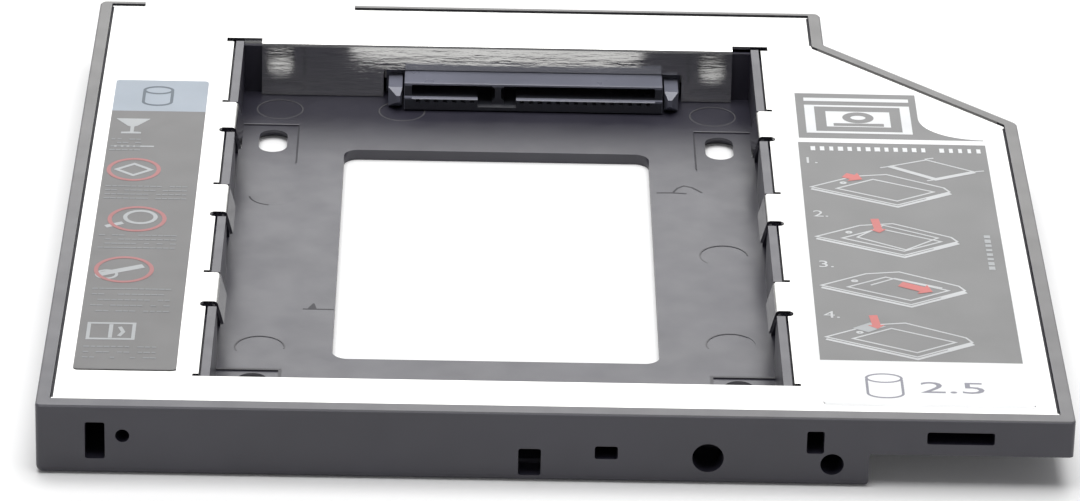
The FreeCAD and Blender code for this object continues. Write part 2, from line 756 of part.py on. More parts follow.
def cover_plate():
    """One folded sheet: flat frame, six side tabs and the rear flange."""
    edge = inset(PLAN, [wall + COVER_PLAY for wall in PLAN_WALLS])
    plate = slab(edge, COVER_RADII, SEAT, COVER_TOP)
    side_gap = STRIP_WIDTH + STRIP_GAP
    cuts = [
        block(
            BAY_LEFT - side_gap,
            BAY_RIGHT + side_gap,
            BAY_FRONT,
            FLANGE_Y + FLANGE_BEND,
            SEAT - 1,
            COVER_TOP + 1,
        )
    ]
    tabs = []
    for side in (-1, 1):
        cuts.append(
            rail_block(
                -FLANGE_SIDE_GAP,
                FLANGE_NOTCH_OUT,
                FLANGE_Y + FLANGE_BEND - FLANGE_NOTCH_EDGE,
                FLANGE_Y + FLANGE_BEND + FLANGE_NOTCH,
                SEAT - 1,
                COVER_TOP + 1,
                side,
            )
        )
        for start in hook_starts():
            slit = (start, start + HOOK_LENGTH, SEAT - 1, COVER_TOP + 1)
            cuts.append(rail_block(0, side_gap + HOOK_WIDTH, *slit, side))
        for rear, front in tab_spans():
            x0, x1 = sorted((rail_side(0, side), rail_side(RELIEF_WIDTH, side)))
            points = (
                (x0, front - RELIEF_LENGTH),
                (x1, front - RELIEF_LENGTH),
                (x1, front),
                (x0, front),
            )
            cuts.append(slab(points, [RELIEF_CORNER] * 4, SEAT - 1, COVER_TOP + 1))
            tabs.append(spring_tab(side, rear, front))
    return join([plate.cut(cuts)] + tabs + [rear_flange()])


def contact_xs(first, count, pitch):
    return [first + i * pitch for i in range(count)]


def drive_contact_xs():
    signal = contact_xs(SOCKET_LEFT + SIGNAL_SIDE, SIGNAL_COUNT, CONTACT_PITCH)
    power = contact_xs(LAST_SIGNAL + ROW_GAP, POWER_COUNT, CONTACT_PITCH)
    return signal, power


def guide_ear(x0, side):
    """Guide post whose tip is cut to a blunt point."""
    start = SOCKET_FRONT + EAR_START
    shaft = block(x0, x0 + EAR_WIDTH, start, SOCKET_REAR - 1, SOCKET_UNDER, EAR_TOP)
    outer_x = x0 if side < 0 else x0 + EAR_WIDTH
    outer_edge = edges_where(shaft, lambda v: near(v.X, outer_x) and near(v.Z, EAR_TOP))
    shaft = shaft.makeFillet(EAR_EDGE, outer_edge)
    tip_x = x0 + (EAR_WIDTH - EAR_TIP_WIDTH) * EAR_TIP_PLACES[side]
    tip_z = EAR_TOP - EAR_TIP_DROP - EAR_TIP_HEIGHT

    def section(xa, xb, za, zb, y):
        corners = [vec(xa, y, za), vec(xb, y, za), vec(xb, y, zb), vec(xa, y, zb)]
        return Part.makePolygon(corners + corners[:1])

    wide = section(x0, x0 + EAR_WIDTH, SOCKET_UNDER, EAR_TOP, start)
    narrow = section(
        tip_x, tip_x + EAR_TIP_WIDTH, tip_z, tip_z + EAR_TIP_HEIGHT, start - EAR_TIP
    )
    return [shaft, Part.makeLoft([wide, narrow], True, True)]


def socket_key():
    """Upright bar with flared ends that splits the mouth in two."""
    top = SOCKET_TOP - SOCKET_LIP
    head = KEY_HEAD / 2
    web = KEY_WEB / 2
    low = KEY_FLOOR + KEY_NECK
    points = (
        (KEY_X - head, KEY_FLOOR),
        (KEY_X + head, KEY_FLOOR),
        (KEY_X + head, low),
        (KEY_X + web, low + KEY_FLARE),
        (KEY_X + web, top - KEY_FLARE),
        (KEY_X + head, top),
        (KEY_X - head, top),
        (KEY_X - web, top - KEY_FLARE),
        (KEY_X - web, low + KEY_FLARE),
        (KEY_X - head, low),
    )
    face = outline(points, [0] * len(points), on_front)
    face.translate(vec(0, SOCKET_FRONT, 0))
    return face.extrude(vec(0, MOUTH_DEPTH, 0))


def mouth_lead(x0, x1, z):
    """Wedge that slopes the front edge of a floor of the mouth."""
    points = (
        (JAW_FRONT - LEAD_IN, z - 2 * LEAD_DROP),
        (JAW_FRONT + LEAD_IN, z),
        (JAW_FRONT - LEAD_IN, z),
    )
    face = outline(points, (0, 0, 0), on_side)
    face.translate(vec(x0, 0, 0))
    return face.extrude(vec(x1 - x0, 0, 0))


def drive_socket_body():
    nose = block(
        SOCKET_LEFT, SOCKET_RIGHT, SOCKET_FRONT, SOCKET_REAR, SOCKET_UNDER, SOCKET_TOP
    )
    top_edges = edges_where(nose, lambda v: near(v.Z, SOCKET_TOP))
    rear_edges = edges_where(nose, lambda v: near(v.Y, SOCKET_REAR))
    open_edges = [edge for edge in top_edges if not any(map(edge.isSame, rear_edges))]
    nose = nose.makeFillet(SOCKET_EDGE, open_edges)
    jaw = block(SOCKET_LEFT, SOCKET_RIGHT, JAW_FRONT, SOCKET_REAR, SOCKET_UNDER, MOUTH_FLOOR)
    base = block(
        EAR_LEFT - SOCKET_BASE_SIDE,
        EAR_RIGHT + SOCKET_BASE_SIDE,
        SOCKET_BASE_FRONT,
        SOCKET_REAR,
        SOCKET_UNDER,
        SOCKET_TOP,
    )
    ears = guide_ear(EAR_LEFT, -1) + guide_ear(SOCKET_RIGHT + EAR_GAP, 1)
    body = join([nose, jaw, base] + ears)
    mouth_end = SOCKET_FRONT + MOUTH_DEPTH
    top = SOCKET_TOP - SOCKET_LIP
    mouth = block(
        SOCKET_LEFT + MOUTH_SIDE,
        SOCKET_RIGHT - MOUTH_SIDE,
        JAW_FRONT - 1,
        mouth_end,
        MOUTH_FLOOR,
        top,
    )
    deep = block(
        KEY_X - KEY_HALF_LEFT,
        KEY_X + KEY_HALF_RIGHT,
        JAW_FRONT - 1,
        mouth_end,
        KEY_FLOOR,
        top,
    )
    leads = [
        mouth_lead(SOCKET_LEFT + MOUTH_SIDE, SOCKET_RIGHT - MOUTH_SIDE, MOUTH_FLOOR),
        mouth_lead(KEY_X - KEY_HALF_LEFT, KEY_X + KEY_HALF_RIGHT, KEY_FLOOR),
    ]
    signal, power = drive_contact_xs()
    cuts = []
    half = CONTACT_WIDTH / 2 + CONTACT_PLAY
    for x in signal + power:
        cuts.append(
            block(
                x - half,
                x + half,
                mouth_end - CONTACT_SEAT,
                SOCKET_REAR + 1,
                top - CONTACT_THICK - CONTACT_PLAY,
                top,
            )
        )
        pocket_top = MOUTH_FLOOR - POCKET_BELOW_LIP
        cuts.append(
            block(
                x - POCKET_WIDTH / 2,
                x + POCKET_WIDTH / 2,
                JAW_FRONT - 1,
                JAW_FRONT + POCKET_DEPTH,
                pocket_top - POCKET_HEIGHT,
                pocket_top,
            )
        )
    body = body.cut([mouth, deep] + leads)
    body = join([body, socket_key()])
    return body.cut(cuts).removeSplitter()


def drive_contact(x):
    """Flat spring under the mouth's ceiling, with a foot under the board."""
    thick = CONTACT_THICK
    top = SOCKET_TOP - SOCKET_LIP
    low = top - thick
    mouth_end = SOCKET_FRONT + MOUTH_DEPTH
    start = SOCKET_FRONT + CONTACT_START
    hump = (start + mouth_end) / 2
    rear = SOCKET_REAR + CONTACT_PLAY
    foot_end = rear + thick + CONTACT_FOOT
    points = (
        (start, low),
        (hump - CONTACT_RAMP, low),
        (hump, low - CONTACT_HUMP),
        (hump + CONTACT_RAMP, low),
        (rear + thick, low),
        (rear + thick, BOARD_UNDER - thick),
        (foot_end, BOARD_UNDER - thick),
        (foot_end, BOARD_UNDER),
        (rear, BOARD_UNDER),
        (rear, top),
        (hump + CONTACT_RAMP, top),
        (hump, top - CONTACT_HUMP),
        (hump - CONTACT_RAMP, top),
        (start, top),
    )
    face = outline(points, [0] * len(points), on_side)
    face.translate(vec(x - CONTACT_WIDTH / 2, 0, 0))
    return face.extrude(vec(CONTACT_WIDTH, 0, 0))


def drive_contacts(xs):
    return Part.makeCompound([drive_contact(x) for x in xs])


def tongue_spans():
    """Left and right end of the power and signal tongues in the host plug."""
    total = TONGUE_POWER_WIDTH + TONGUE_GAP + TONGUE_SIGNAL_WIDTH
    start = (PLUG_X0 + PLUG_X1 - total) / 2
    power = (start, start + TONGUE_POWER_WIDTH)
    signal = (power[1] + TONGUE_GAP, power[1] + TONGUE_GAP + TONGUE_SIGNAL_WIDTH)
    return power, signal


def plug_tongue_floor():
    return PLUG_UNDER + PLUG_WALL + TONGUE_UNDER


def host_contact_xs():
    power, signal = tongue_spans()
    power_half = (HOST_POWER_COUNT - 1) / 2 * HOST_POWER_PITCH
    signal_half = (HOST_SIGNAL_COUNT - 1) / 2 * HOST_SIGNAL_PITCH
    power_xs = contact_xs(sum(power) / 2 - power_half, HOST_POWER_COUNT, HOST_POWER_PITCH)
    signal_xs = contact_xs(sum(signal) / 2 - signal_half, HOST_SIGNAL_COUNT, HOST_SIGNAL_PITCH)
    return power_xs, signal_xs


def host_plug_body():
    """Shrouded plug that opens to the rear, with two keyed tongues."""
    body = block(PLUG_X0, PLUG_X1, PLUG_FRONT, PLUG_REAR, PLUG_UNDER, BOARD_UNDER)
    mouth_start = PLUG_REAR - PLUG_MOUTH_DEPTH
    mouth = block(
        PLUG_X0 + PLUG_MOUTH_SIDE,
        PLUG_X1 - PLUG_MOUTH_SIDE,
        mouth_start,
        PLUG_REAR + 1,
        PLUG_UNDER + PLUG_WALL,
        BOARD_UNDER - PLUG_WALL,
    )
    body = body.cut(mouth)
    low = plug_tongue_floor()
    tongues = []
    for x0, x1 in tongue_spans():
        profile = (
            (x0, low),
            (x1 - TONGUE_LEG, low),
            (x1 - TONGUE_LEG, low - TONGUE_UNDER / 2),
            (x1, low - TONGUE_UNDER / 2),
            (x1, low + TONGUE_THICK),
            (x0, low + TONGUE_THICK),
        )
        face = outline(profile, [0] * len(profile), on_front)
        face.translate(vec(0, mouth_start - 0.5, 0))
        tongues.append(face.extrude(vec(0, PLUG_MOUTH_DEPTH + 0.5 - TONGUE_SETBACK, 0)))
    body = join([body] + tongues)
    power_xs, signal_xs = host_contact_xs()
    half = HOST_CONTACT_WIDTH / 2 + CONTACT_PLAY
    top = low + TONGUE_THICK
    cuts = [
        block(
            x - half,
            x + half,
            PLUG_FRONT - 1,
            mouth_start,
            top,
            top + HOST_CONTACT_THICK + CONTACT_PLAY,
        )
        for x in power_xs + signal_xs
    ]
    return body.cut(cuts).removeSplitter()


def host_contact(x):
    """Strip on top of a tongue, with a foot under the board."""
    low = plug_tongue_floor() + TONGUE_THICK
    thick = HOST_CONTACT_THICK
    rear = PLUG_REAR - HOST_CONTACT_SETBACK
    front = PLUG_FRONT - CONTACT_PLAY
    foot = front - thick - CONTACT_FOOT
    points = (
        (rear, low),
        (rear, low + thick),
        (front, low + thick),
        (front, BOARD_UNDER),
        (foot, BOARD_UNDER),
        (foot, BOARD_UNDER - thick),
        (front - thick, BOARD_UNDER - thick),
        (front - thick, low),
    )
    face = outline(points, [0] * len(points), on_side)
    face.translate(vec(x - HOST_CONTACT_WIDTH / 2, 0, 0))
    return face.extrude(vec(HOST_CONTACT_WIDTH, 0, 0))


def host_contacts(xs):
    return Part.makeCompound([host_contact(x) for x in xs])


def holddown(x_face, y, side):
    """Bent metal lug that ties a connector's end to the board."""
    thick = HOLDDOWN_THICK
    low = BOARD_UNDER - HOLDDOWN_HEIGHT
    foot = x_face + side * HOLDDOWN_FOOT
    outer = x_face + side * thick
    points = (
        (x_face, low),
        (outer, low),
        (outer, BOARD_UNDER - thick),
        (foot, BOARD_UNDER - thick),
        (foot, BOARD_UNDER),
        (x_face, BOARD_UNDER),
    )
    face = outline(points, (0, 0, HOLDDOWN_BEND, 0, 0, HOLDDOWN_BEND), on_front)
    face.translate(vec(0, y - HOLDDOWN_WIDTH / 2, 0))
    return face.extrude(vec(0, HOLDDOWN_WIDTH, 0))


def adapter_board():
    points = (
        (BOARD_X0, BOARD_Y0),
        (BOARD_X1, BOARD_Y0),
        (BOARD_X1, BOARD_Y1),
        (BOARD_X0, BOARD_Y1),
    )
    board = slab(points, [BOARD_CORNER] * 4, BOARD_UNDER, BOARD_TOP)
    radius = SCREW_SHANK / 2 + BOARD_HOLE_PLAY
    holes = [
        Part.makeCylinder(radius, BOARD_THICK + 2, vec(x, y, BOARD_UNDER - 1))
        for x, y in SCREW_PLACES.values()
    ]
    return board.cut(holes)


def board_screw(x, y):
    """Cone head screw with a cross recess, turned from one profile."""
    top = BOARD_TOP + SCREW_HEAD_HEIGHT
    head = SCREW_HEAD / 2
    shank = SCREW_SHANK / 2
    profile = outline(
        (
            (0, BOARD_TOP - SCREW_LENGTH),
            (shank, BOARD_TOP - SCREW_LENGTH),
            (shank, BOARD_TOP),
            (head, BOARD_TOP),
            (head, top - SCREW_HEAD_EDGE),
            (head - SCREW_HEAD_EDGE, top),
            (0, top),
        ),
        [0] * 7,
        on_front,
    )
    screw = profile.revolve(vec(0, 0), vec(0, 0, 1), 360)
    screw.translate(vec(x, y))
    reach = SCREW_RECESS_REACH
    half = SCREW_BLADE / 2
    cross = [
        block(x - reach, x + reach, y - half, y + half, top - SCREW_RECESS, top + 1),
        block(x - half, x + half, y - reach, y + reach, top - SCREW_RECESS, top + 1),
    ]
    return screw.cut(cross)


def chips(row, datum, direction):
    """Row of small parts soldered on top of the board."""
    count, offset, pitch, size = row
    length, width, height = size
    first_x = datum + direction * offset
    y = (BOARD_Y0 + BOARD_Y1) / 2
    return Part.makeCompound(
        [
            block(
                first_x + i * pitch - length / 2,
                first_x + i * pitch + length / 2,
                y - width / 2,
                y + width / 2,
                BOARD_TOP,
                BOARD_TOP + height,
            )
            for i in range(count)
        ]
    )


def caution_label():
    x0 = X_LEFT + CAUTION_LEFT
    y0 = Y_FRONT + CAUTION_FRONT
    points = (
        (x0, y0),
        (x0 + CAUTION_WIDTH, y0),
        (x0 + CAUTION_WIDTH, y0 + CAUTION_LENGTH),
        (x0, y0 + CAUTION_LENGTH),
    )
    return slab(points, [LABEL_CORNER] * 4, COVER_TOP, COVER_TOP + LABEL_THICK)


def guide_label():
    """Label with a hollow curve that follows the slanted wall."""
    x0 = BAY_RIGHT + GUIDE_FROM_BAY
    x1 = X_RIGHT - GUIDE_RIGHT
    y0 = Y_FRONT + GUIDE_FRONT
    y1 = Y_REAR - GUIDE_REAR
    notch_x = X_RIGHT - GUIDE_NOTCH_X
    notch_y = Y_REAR - GUIDE_NOTCH_Y
    points = (
        (x0, y0),
        (x1, y0),
        (x1, notch_y),
        (notch_x, notch_y),
        (notch_x, y1),
        (x0, y1),
    )
    small = LABEL_CORNER
    radii = (small, small, small, GUIDE_NOTCH_RADIUS, small, small)
    label = slab(points, radii, COVER_TOP, COVER_TOP + LABEL_THICK)
    margin = [wall + COVER_PLAY + LABEL_MARGIN for wall in PLAN_WALLS]
    limit = slab(inset(PLAN, margin), [0] * len(PLAN), COVER_TOP, COVER_TOP + LABEL_THICK)
    return label.common(limit)


def build():
    signal, power = drive_contact_xs()
    host_power, host_signal = host_contact_xs()
    holddown_y = SOCKET_BASE_FRONT + HOLDDOWN_WIDTH
    plug_y = PLUG_REAR - PLUG_LUG_SETBACK
    socket_x0 = EAR_LEFT - SOCKET_BASE_SIDE
    socket_x1 = EAR_RIGHT + SOCKET_BASE_SIDE
    nodes = {
        "base_frame": base_frame(),
        "cover_plate": cover_plate(),
        "drive_socket_body": drive_socket_body(),
        "drive_signal_contacts": drive_contacts(signal),
        "drive_power_contacts": drive_contacts(power),
        "drive_socket_lug_left": holddown(socket_x0, holddown_y, -1),
        "drive_socket_lug_right": holddown(socket_x1, holddown_y, 1),
        "host_plug_body": host_plug_body(),
        "host_power_contacts": host_contacts(host_power),
        "host_signal_contacts": host_contacts(host_signal),
        "host_plug_lug_left": holddown(PLUG_X0, plug_y, -1),
        "host_plug_lug_right": holddown(PLUG_X1, plug_y, 1),
        "adapter_board": adapter_board(),
        "board_filter_capacitors": chips(FILTER_CAPACITORS, SOCKET_RIGHT, -1),
        "board_ceramic_capacitors": chips(CERAMIC_CAPACITORS, SOCKET_LEFT, 1),
        "board_resistors": chips(RESISTORS, PLUG_X0, 1),
        "caution_label": caution_label(),
        "guide_label": guide_label(),
    }
    for name, (x, y) in SCREW_PLACES.items():
        nodes["board_screw_" + name] = board_screw(x, y)
    return nodes


os.makedirs("parts", exist_ok=True)
for node, shape in build().items():
    shape.exportStep("parts/" + node + ".step")
    print(node, len(shape.Solids), round(shape.Volume, 1), shape.isValid())
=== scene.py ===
import math

import bmesh
import bpy
from bpy.props import FloatProperty, FloatVectorProperty, IntProperty, PointerProperty
from bpy.types import Operator, Panel, PropertyGroup
from mathutils import Matrix, Vector


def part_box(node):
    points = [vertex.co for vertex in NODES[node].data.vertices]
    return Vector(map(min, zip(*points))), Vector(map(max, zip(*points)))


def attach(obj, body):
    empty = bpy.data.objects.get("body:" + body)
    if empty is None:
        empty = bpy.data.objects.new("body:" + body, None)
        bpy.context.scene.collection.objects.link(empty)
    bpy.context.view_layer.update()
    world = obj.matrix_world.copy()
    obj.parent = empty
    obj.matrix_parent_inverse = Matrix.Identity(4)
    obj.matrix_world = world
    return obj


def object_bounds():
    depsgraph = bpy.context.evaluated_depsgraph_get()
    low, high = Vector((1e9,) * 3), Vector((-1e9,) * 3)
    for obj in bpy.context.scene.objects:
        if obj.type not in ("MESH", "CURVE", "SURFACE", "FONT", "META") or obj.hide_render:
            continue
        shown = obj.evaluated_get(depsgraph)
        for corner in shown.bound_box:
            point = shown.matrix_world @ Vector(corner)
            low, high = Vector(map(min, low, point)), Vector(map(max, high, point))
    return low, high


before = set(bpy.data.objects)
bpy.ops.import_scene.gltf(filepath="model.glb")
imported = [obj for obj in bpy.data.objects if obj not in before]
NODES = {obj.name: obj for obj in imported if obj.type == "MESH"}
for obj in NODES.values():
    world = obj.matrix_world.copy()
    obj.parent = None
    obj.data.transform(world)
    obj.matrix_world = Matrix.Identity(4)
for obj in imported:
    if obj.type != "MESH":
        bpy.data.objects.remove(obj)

bl_info = {
    "name": "Drive mounting frame",
    "version": (1, 0, 0),
    "blender": (4, 5, 0),
    "location": "View3D > Sidebar > Mounting Frame",
    "description": "Finishes, label prints and stage of a slim drive mounting frame",
    "category": "Object",
}

CAD_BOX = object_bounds()
MM = 0.001
RIDES_ON = "root"

# Finishes, with their lengths in metres
TRAY_IOR = 1.62
PAINTED_MARK_GRAIN = 0.3 * MM
RIM_HIGHLIGHT_DEPTH = 0.1 * MM                # part of the rim's top that gets a painted highlight, from its top
RIM_HIGHLIGHT_FADE = (256 * MM, 110 * MM)     # lengths in X and Y over which the painted highlight grows towards the right rear
FOLD_MIDDLE = -7.3 * MM             # middle of the flange's calm part
FOLD_PLACE = 49.0 * MM              # the flange hangs behind this
FOLD_DROP = 0.5 * MM                # and this far below the sheet's top
CALM_ENDS = (15 * MM, 29 * MM)      # from the middle, the bow grows between these
BOW_RADIUS = 69 * MM
BOW_MIDDLE = 4.1 * MM               # height at which the bow leaves the tilt as it is
CRUMPLE_HEIGHT = 0.012 * MM
NOSE_MIDDLE = -2.15 * MM            # nose of the drive's socket, and its mouth, where shade is painted
NOSE_HALF = 18.1 * MM
MOUTH_TOP = 5.0 * MM
LIP_REAR = 44.95 * MM
LIP_FOOT = 3.3 * MM

# Print
INK_SHARE = 0.4             # share of a layer that its first shape takes
LAYER_STEP = 0.0003 * MM    # rise from shape to shape in one layer

# Foot along the front edge of the right label
EDGE_LAP = 0.02 * MM        # its rear lies this far behind the label's edge
EDGE_REACH = 0.45 * MM      # and its front this far before it
EDGE_SIDE = 0.15 * MM       # spare width at both ends
EDGE_GAP = 0.005 * MM       # its underside above the label's underside
EDGE_DROP = 0.003 * MM      # its top below the label's top

# Outlines and places on the labels and the sheet, in millimetres
HEADER_FRONT = 25.3
GOBLET = (
    (-59.2, 22.7), (-54.5, 22.7), (-56.2, 20.3), (-56.6, 20.1), (-56.6, 18.4), (-55.6, 18.3),
    (-55.6, 17.8), (-58.3, 17.8), (-58.3, 18.3), (-57.1, 18.4), (-57.1, 20.1), (-57.5, 20.3),
)
RINGS = ((-55.9, 6.2, 3.35), (-54.6, -9.2, 3.6), (-55.45, -24.45, 3.6))
# x, y, rows, row pitch, bars, bar pitch, shortest, longest, bar height, share left out
ROW_BLOCKS = (
    (-59.2, 15.9, 4, 1.15, 5, 0.85, 0.4, 0.8, 0.42, 0.1),
    (-59.0, 0.9, 4, 1.25, 13, 0.85, 0.6, 0.84, 0.36, 0.12),
    (-58.9, -14.2, 4, 1.25, 12, 0.85, 0.6, 0.84, 0.36, 0.15),
    (-58.8, -30.1, 5, 1.6, 12, 0.85, 0.6, 0.84, 0.36, 0.2),
    (-58.9, -46.6, 3, 1.5, 11, 0.85, 0.5, 0.84, 0.36, 0.35),
)
SKETCH_PLACES = ((34.6, 4.4), (34.6, -11.0), (34.6, -25.6), (34.5, -40.5))
SKETCH_LONG = (11.3, -5.2)          # long and short side of a drawn tray
SKETCH_SHORT = (7.2, 4.4)
LOOSE_PLATE = ((45.5, 11.4), (50.6, 13.7), (56.9, 10.1), (51.5, 7.5))
PLATE_TICKS = (
    ((44.2, 10.9), (45.4, 11.3)),
    ((50.4, 13.9), (51.6, 14.3)),
    ((57.0, 10.2), (58.2, 10.5)),
    ((50.3, 7.0), (51.4, 7.4)),
)
# x and y of the tip, angle in degrees, length, half the width of the head
ARROWS = (
    (41.6, 7.0, -28, 2.7, 1.5),
    (43.0, -9.6, -84, 4.3, 1.1),
    (48.9, -27.0, -28, 4.6, 1.5),
    (41.2, -38.0, -84, 3.9, 1.1),
)
NUMBER_PLACES = ((33.75, 12.0), (34.4, -4.9), (34.4, -20.2), (34.45, -35.0))
# Dark strips of painted shadow in the gap between sheet and rim
SEAM_WIDTH = 0.22
SEAM_LINES = (                      # along the left, right and neck sides of the rim
    ((-62.07, -60.4), (-62.07, 61.5)),
    ((62.02, -60.4), (62.02, 24.68)),
    ((36.87, 51.83), (36.87, 61.5)),
)
# Sloping foot of the slanted rim, coloured with a painted highlight
SLANT_FOOT = ((61.412, 26.388), (37.938, 50.421))
SLANT_INWARD = (-0.7154, -0.6987)
SLANT_SPAN = (0.02, 0.3)            # near and far edge of the foot, inward of its line
SLANT_RISE = (-0.1, 0.17)           # underside and top of the foot, from the sheet's top

# Places on the bay's floor, in millimetres
EJECTOR_RADIUS = 3.2
# Ejector mark that a plug fills, with an arc of painted shade
SHADED_EJECTOR = (-37.7, 15.8)
RIM_ARCS = (                        # x, y, first and last angle
    (-37.7, 44.2, 0, 360),
    (23.1, 44.2, 0, 360),
    (-20.6, 44.2, 0, 360),
    (-37.7, -30.25, -5, 200),
    (23.1, -0.9, 5, 225),
    (23.1, -27.35, 45, 200),
)
PAD_SPANS = ((-43.0, -34.85), (28.4, 20.25))     # outer and inner edge of the pads
REAR_PAD_EDGE = 39.05
FRONT_PAD_EDGE = -36.55

# Stage, in metres
FLOOR_HALF = 3.0
CARD_HALF = 2.4
CARD_PLACE = -1.6
CARD_HEIGHT = 2.4
# name, place, size, setting of its level
LAMPS = (
    ("back softbox", (0.0, 1.2, 0.68), (1.1, 0.75), "back_level"),
    ("high softbox", (0.0, 0.33, 1.13), (0.5, 0.32), "high_level"),
    ("top lamp", (0.0, 0.0, 1.2), (1.0, 1.1), "top_level"),
)


# Settings that a user would change

def number_setting(name, description, default, **kind):
    return FloatProperty(name=name, description=description, default=default, **kind)


def colour_setting(name, description, default):
    kind = {"subtype": "COLOR", "size": 3, "min": 0, "max": 1}
    return FloatVectorProperty(name=name, description=description, default=default, **kind)


class StageSettings(PropertyGroup):
    camera_place: FloatVectorProperty(
        name="Camera place",
        description="Where the camera stands",
        subtype="TRANSLATION",
        unit="LENGTH",
        default=(-0.0126257, -0.6749724, 0.3259148),
    )
    camera_pitch: number_setting(
        "Pitch", "How far the camera looks down", 0.448096647, subtype="ANGLE"
    )
    camera_yaw: number_setting(
        "Yaw", "Turn of the camera about the vertical", -0.0165761566, subtype="ANGLE"
    )
    camera_roll: number_setting(
        "Roll", "Turn of the camera about its own axis", -0.0244399987, subtype="ANGLE"
    )
    focal_length: number_setting(
        "Focal length", "Lens on a 36 mm wide sensor", 186.90385, unit="CAMERA"
    )
    back_level: number_setting(
        "Back softbox", "Radiance of the wide softbox behind, where 1 is white", 1.74, min=0
    )
    high_level: number_setting(
        "High softbox", "Radiance of the softbox high up behind", 2.5, min=0
    )
    top_level: number_setting("Top lamp", "Radiance of the broad lamp overhead", 4.2, min=0)
    card_colour: colour_setting(
        "Front card", "Colour of the card that stands behind the camera", (0.5, 0.5, 0.52)
    )
    room_level: number_setting("Room", "Level of the even light from all round", 0.22, min=0)
    floor_glow: number_setting(
        "Floor glow", "How much whiter the floor is to camera, metal and glass", 0.04, min=0
    )
    floor_colour: colour_setting("Floor", "Colour of the floor", (0.9, 0.9, 0.9))
    floor_gap: number_setting(
        "Floor gap", "Floor below the underside", 0.00003, unit="LENGTH"
    )


class FinishSettings(PropertyGroup):
    tray_colour: colour_setting("Tray", "Colour of the moulded tray", (0.0225, 0.0212, 0.033))
    tray_roughness: number_setting(
        "Tray roughness", "Roughness of the tray", 0.36, min=0, max=1
    )
    grain_size: number_setting(
        "Grain size", "Size of the texture's grains on the tray", 0.00022, unit="LENGTH"
    )
    bay_floor: number_setting("Bay floor", "Height of the bay's floor", 0.0015, unit="LENGTH")
    # Painted highlight on the edges of the pads and the ejector marks
    edge_highlight_colour: colour_setting("Edges", "Colour of the tray's worn edges", (0.15, 0.147, 0.16))
    # Painted highlight of the rim's top, lighter than the tray
    rim_highlight_colour: colour_setting("Rim", "Colour of the tray's worn rim", (0.085, 0.082, 0.08))
    sheet_colour: colour_setting("Sheet", "Colour of the folded sheet", (0.52, 0.518, 0.507))
    sheet_roughness: number_setting(
        "Sheet roughness", "Roughness of the sheet", 0.14, min=0, max=1
    )
    connector_colour: colour_setting(
        "Connectors", "Colour of the connector bodies", (0.155, 0.16, 0.2)
    )
    board_colour: colour_setting("Board", "Colour of the board's mask", (0.006, 0.007, 0.009))


class PrintSettings(PropertyGroup):
    ink: number_setting(
        "Ink thickness", "Height of one layer of print", 0.000015, unit="LENGTH"
    )
    line: number_setting("Line width", "Width of the drawings' lines", 0.00027, unit="LENGTH")
    seed: IntProperty(name="Seed", description="Seed of the rows of print", default=7)
    caution_turn: number_setting(
        "Left label's turn", "Turn of the left print", math.radians(0.18), subtype="ANGLE"
    )
    guide_turn: number_setting(
        "Right label's turn", "Turn of the right print", math.radians(-0.3), subtype="ANGLE"
    )
    header_colour: colour_setting("Header", "Pale field, left label", (0.335, 0.378, 0.43))
    body_colour: colour_setting("Body", "Grey field, left label", (0.172, 0.17, 0.17))
    film_colour: colour_setting("Film", "Edges of the right label", (0.84, 0.845, 0.85))
    panel_colour: colour_setting("Panel", "Grey fields, right label", (0.215, 0.215, 0.215))
    pale_colour: colour_setting("Pale print", "Pale shapes on grey", (0.4, 0.415, 0.425))
    white_colour: colour_setting("White print", "White fields and headings", (0.72, 0.73, 0.74))
    line_colour: colour_setting("Line print", "Lines of the drawings", (0.56, 0.57, 0.58))
    red_colour: colour_setting("Red print", "Arrows of the right label", (0.56, 0.17, 0.16))
    ring_colour: colour_setting("Ring print", "Rings of the left label", (0.38, 0.16, 0.16))
    slate_colour: colour_setting("Slate print", "Drum of the left label", (0.11, 0.135, 0.16))
    faint_colour: colour_setting("Faint print", "Drum of the right label", (0.25, 0.25, 0.29))


def settings():
    scene = bpy.context.scene
    return scene.frame_stage, scene.frame_finish, scene.frame_print


# Finishes

def add_node(tree, kind, feeds=None, **values):
    """New node; feeds gives its inputs another node's output or a plain value."""
    node = tree.nodes.new(kind)
    for key, value in values.items():
        setattr(node, key, value)
    for name, source in (feeds or {}).items():
        feed(tree, source, node.inputs[name])
    return node


def feed(tree, source, target):
    """Joins an output to an input, or writes a plain value into it."""
    if isinstance(source, bpy.types.NodeSocket):
        tree.links.new(source, target)
    else:
        target.default_value = source


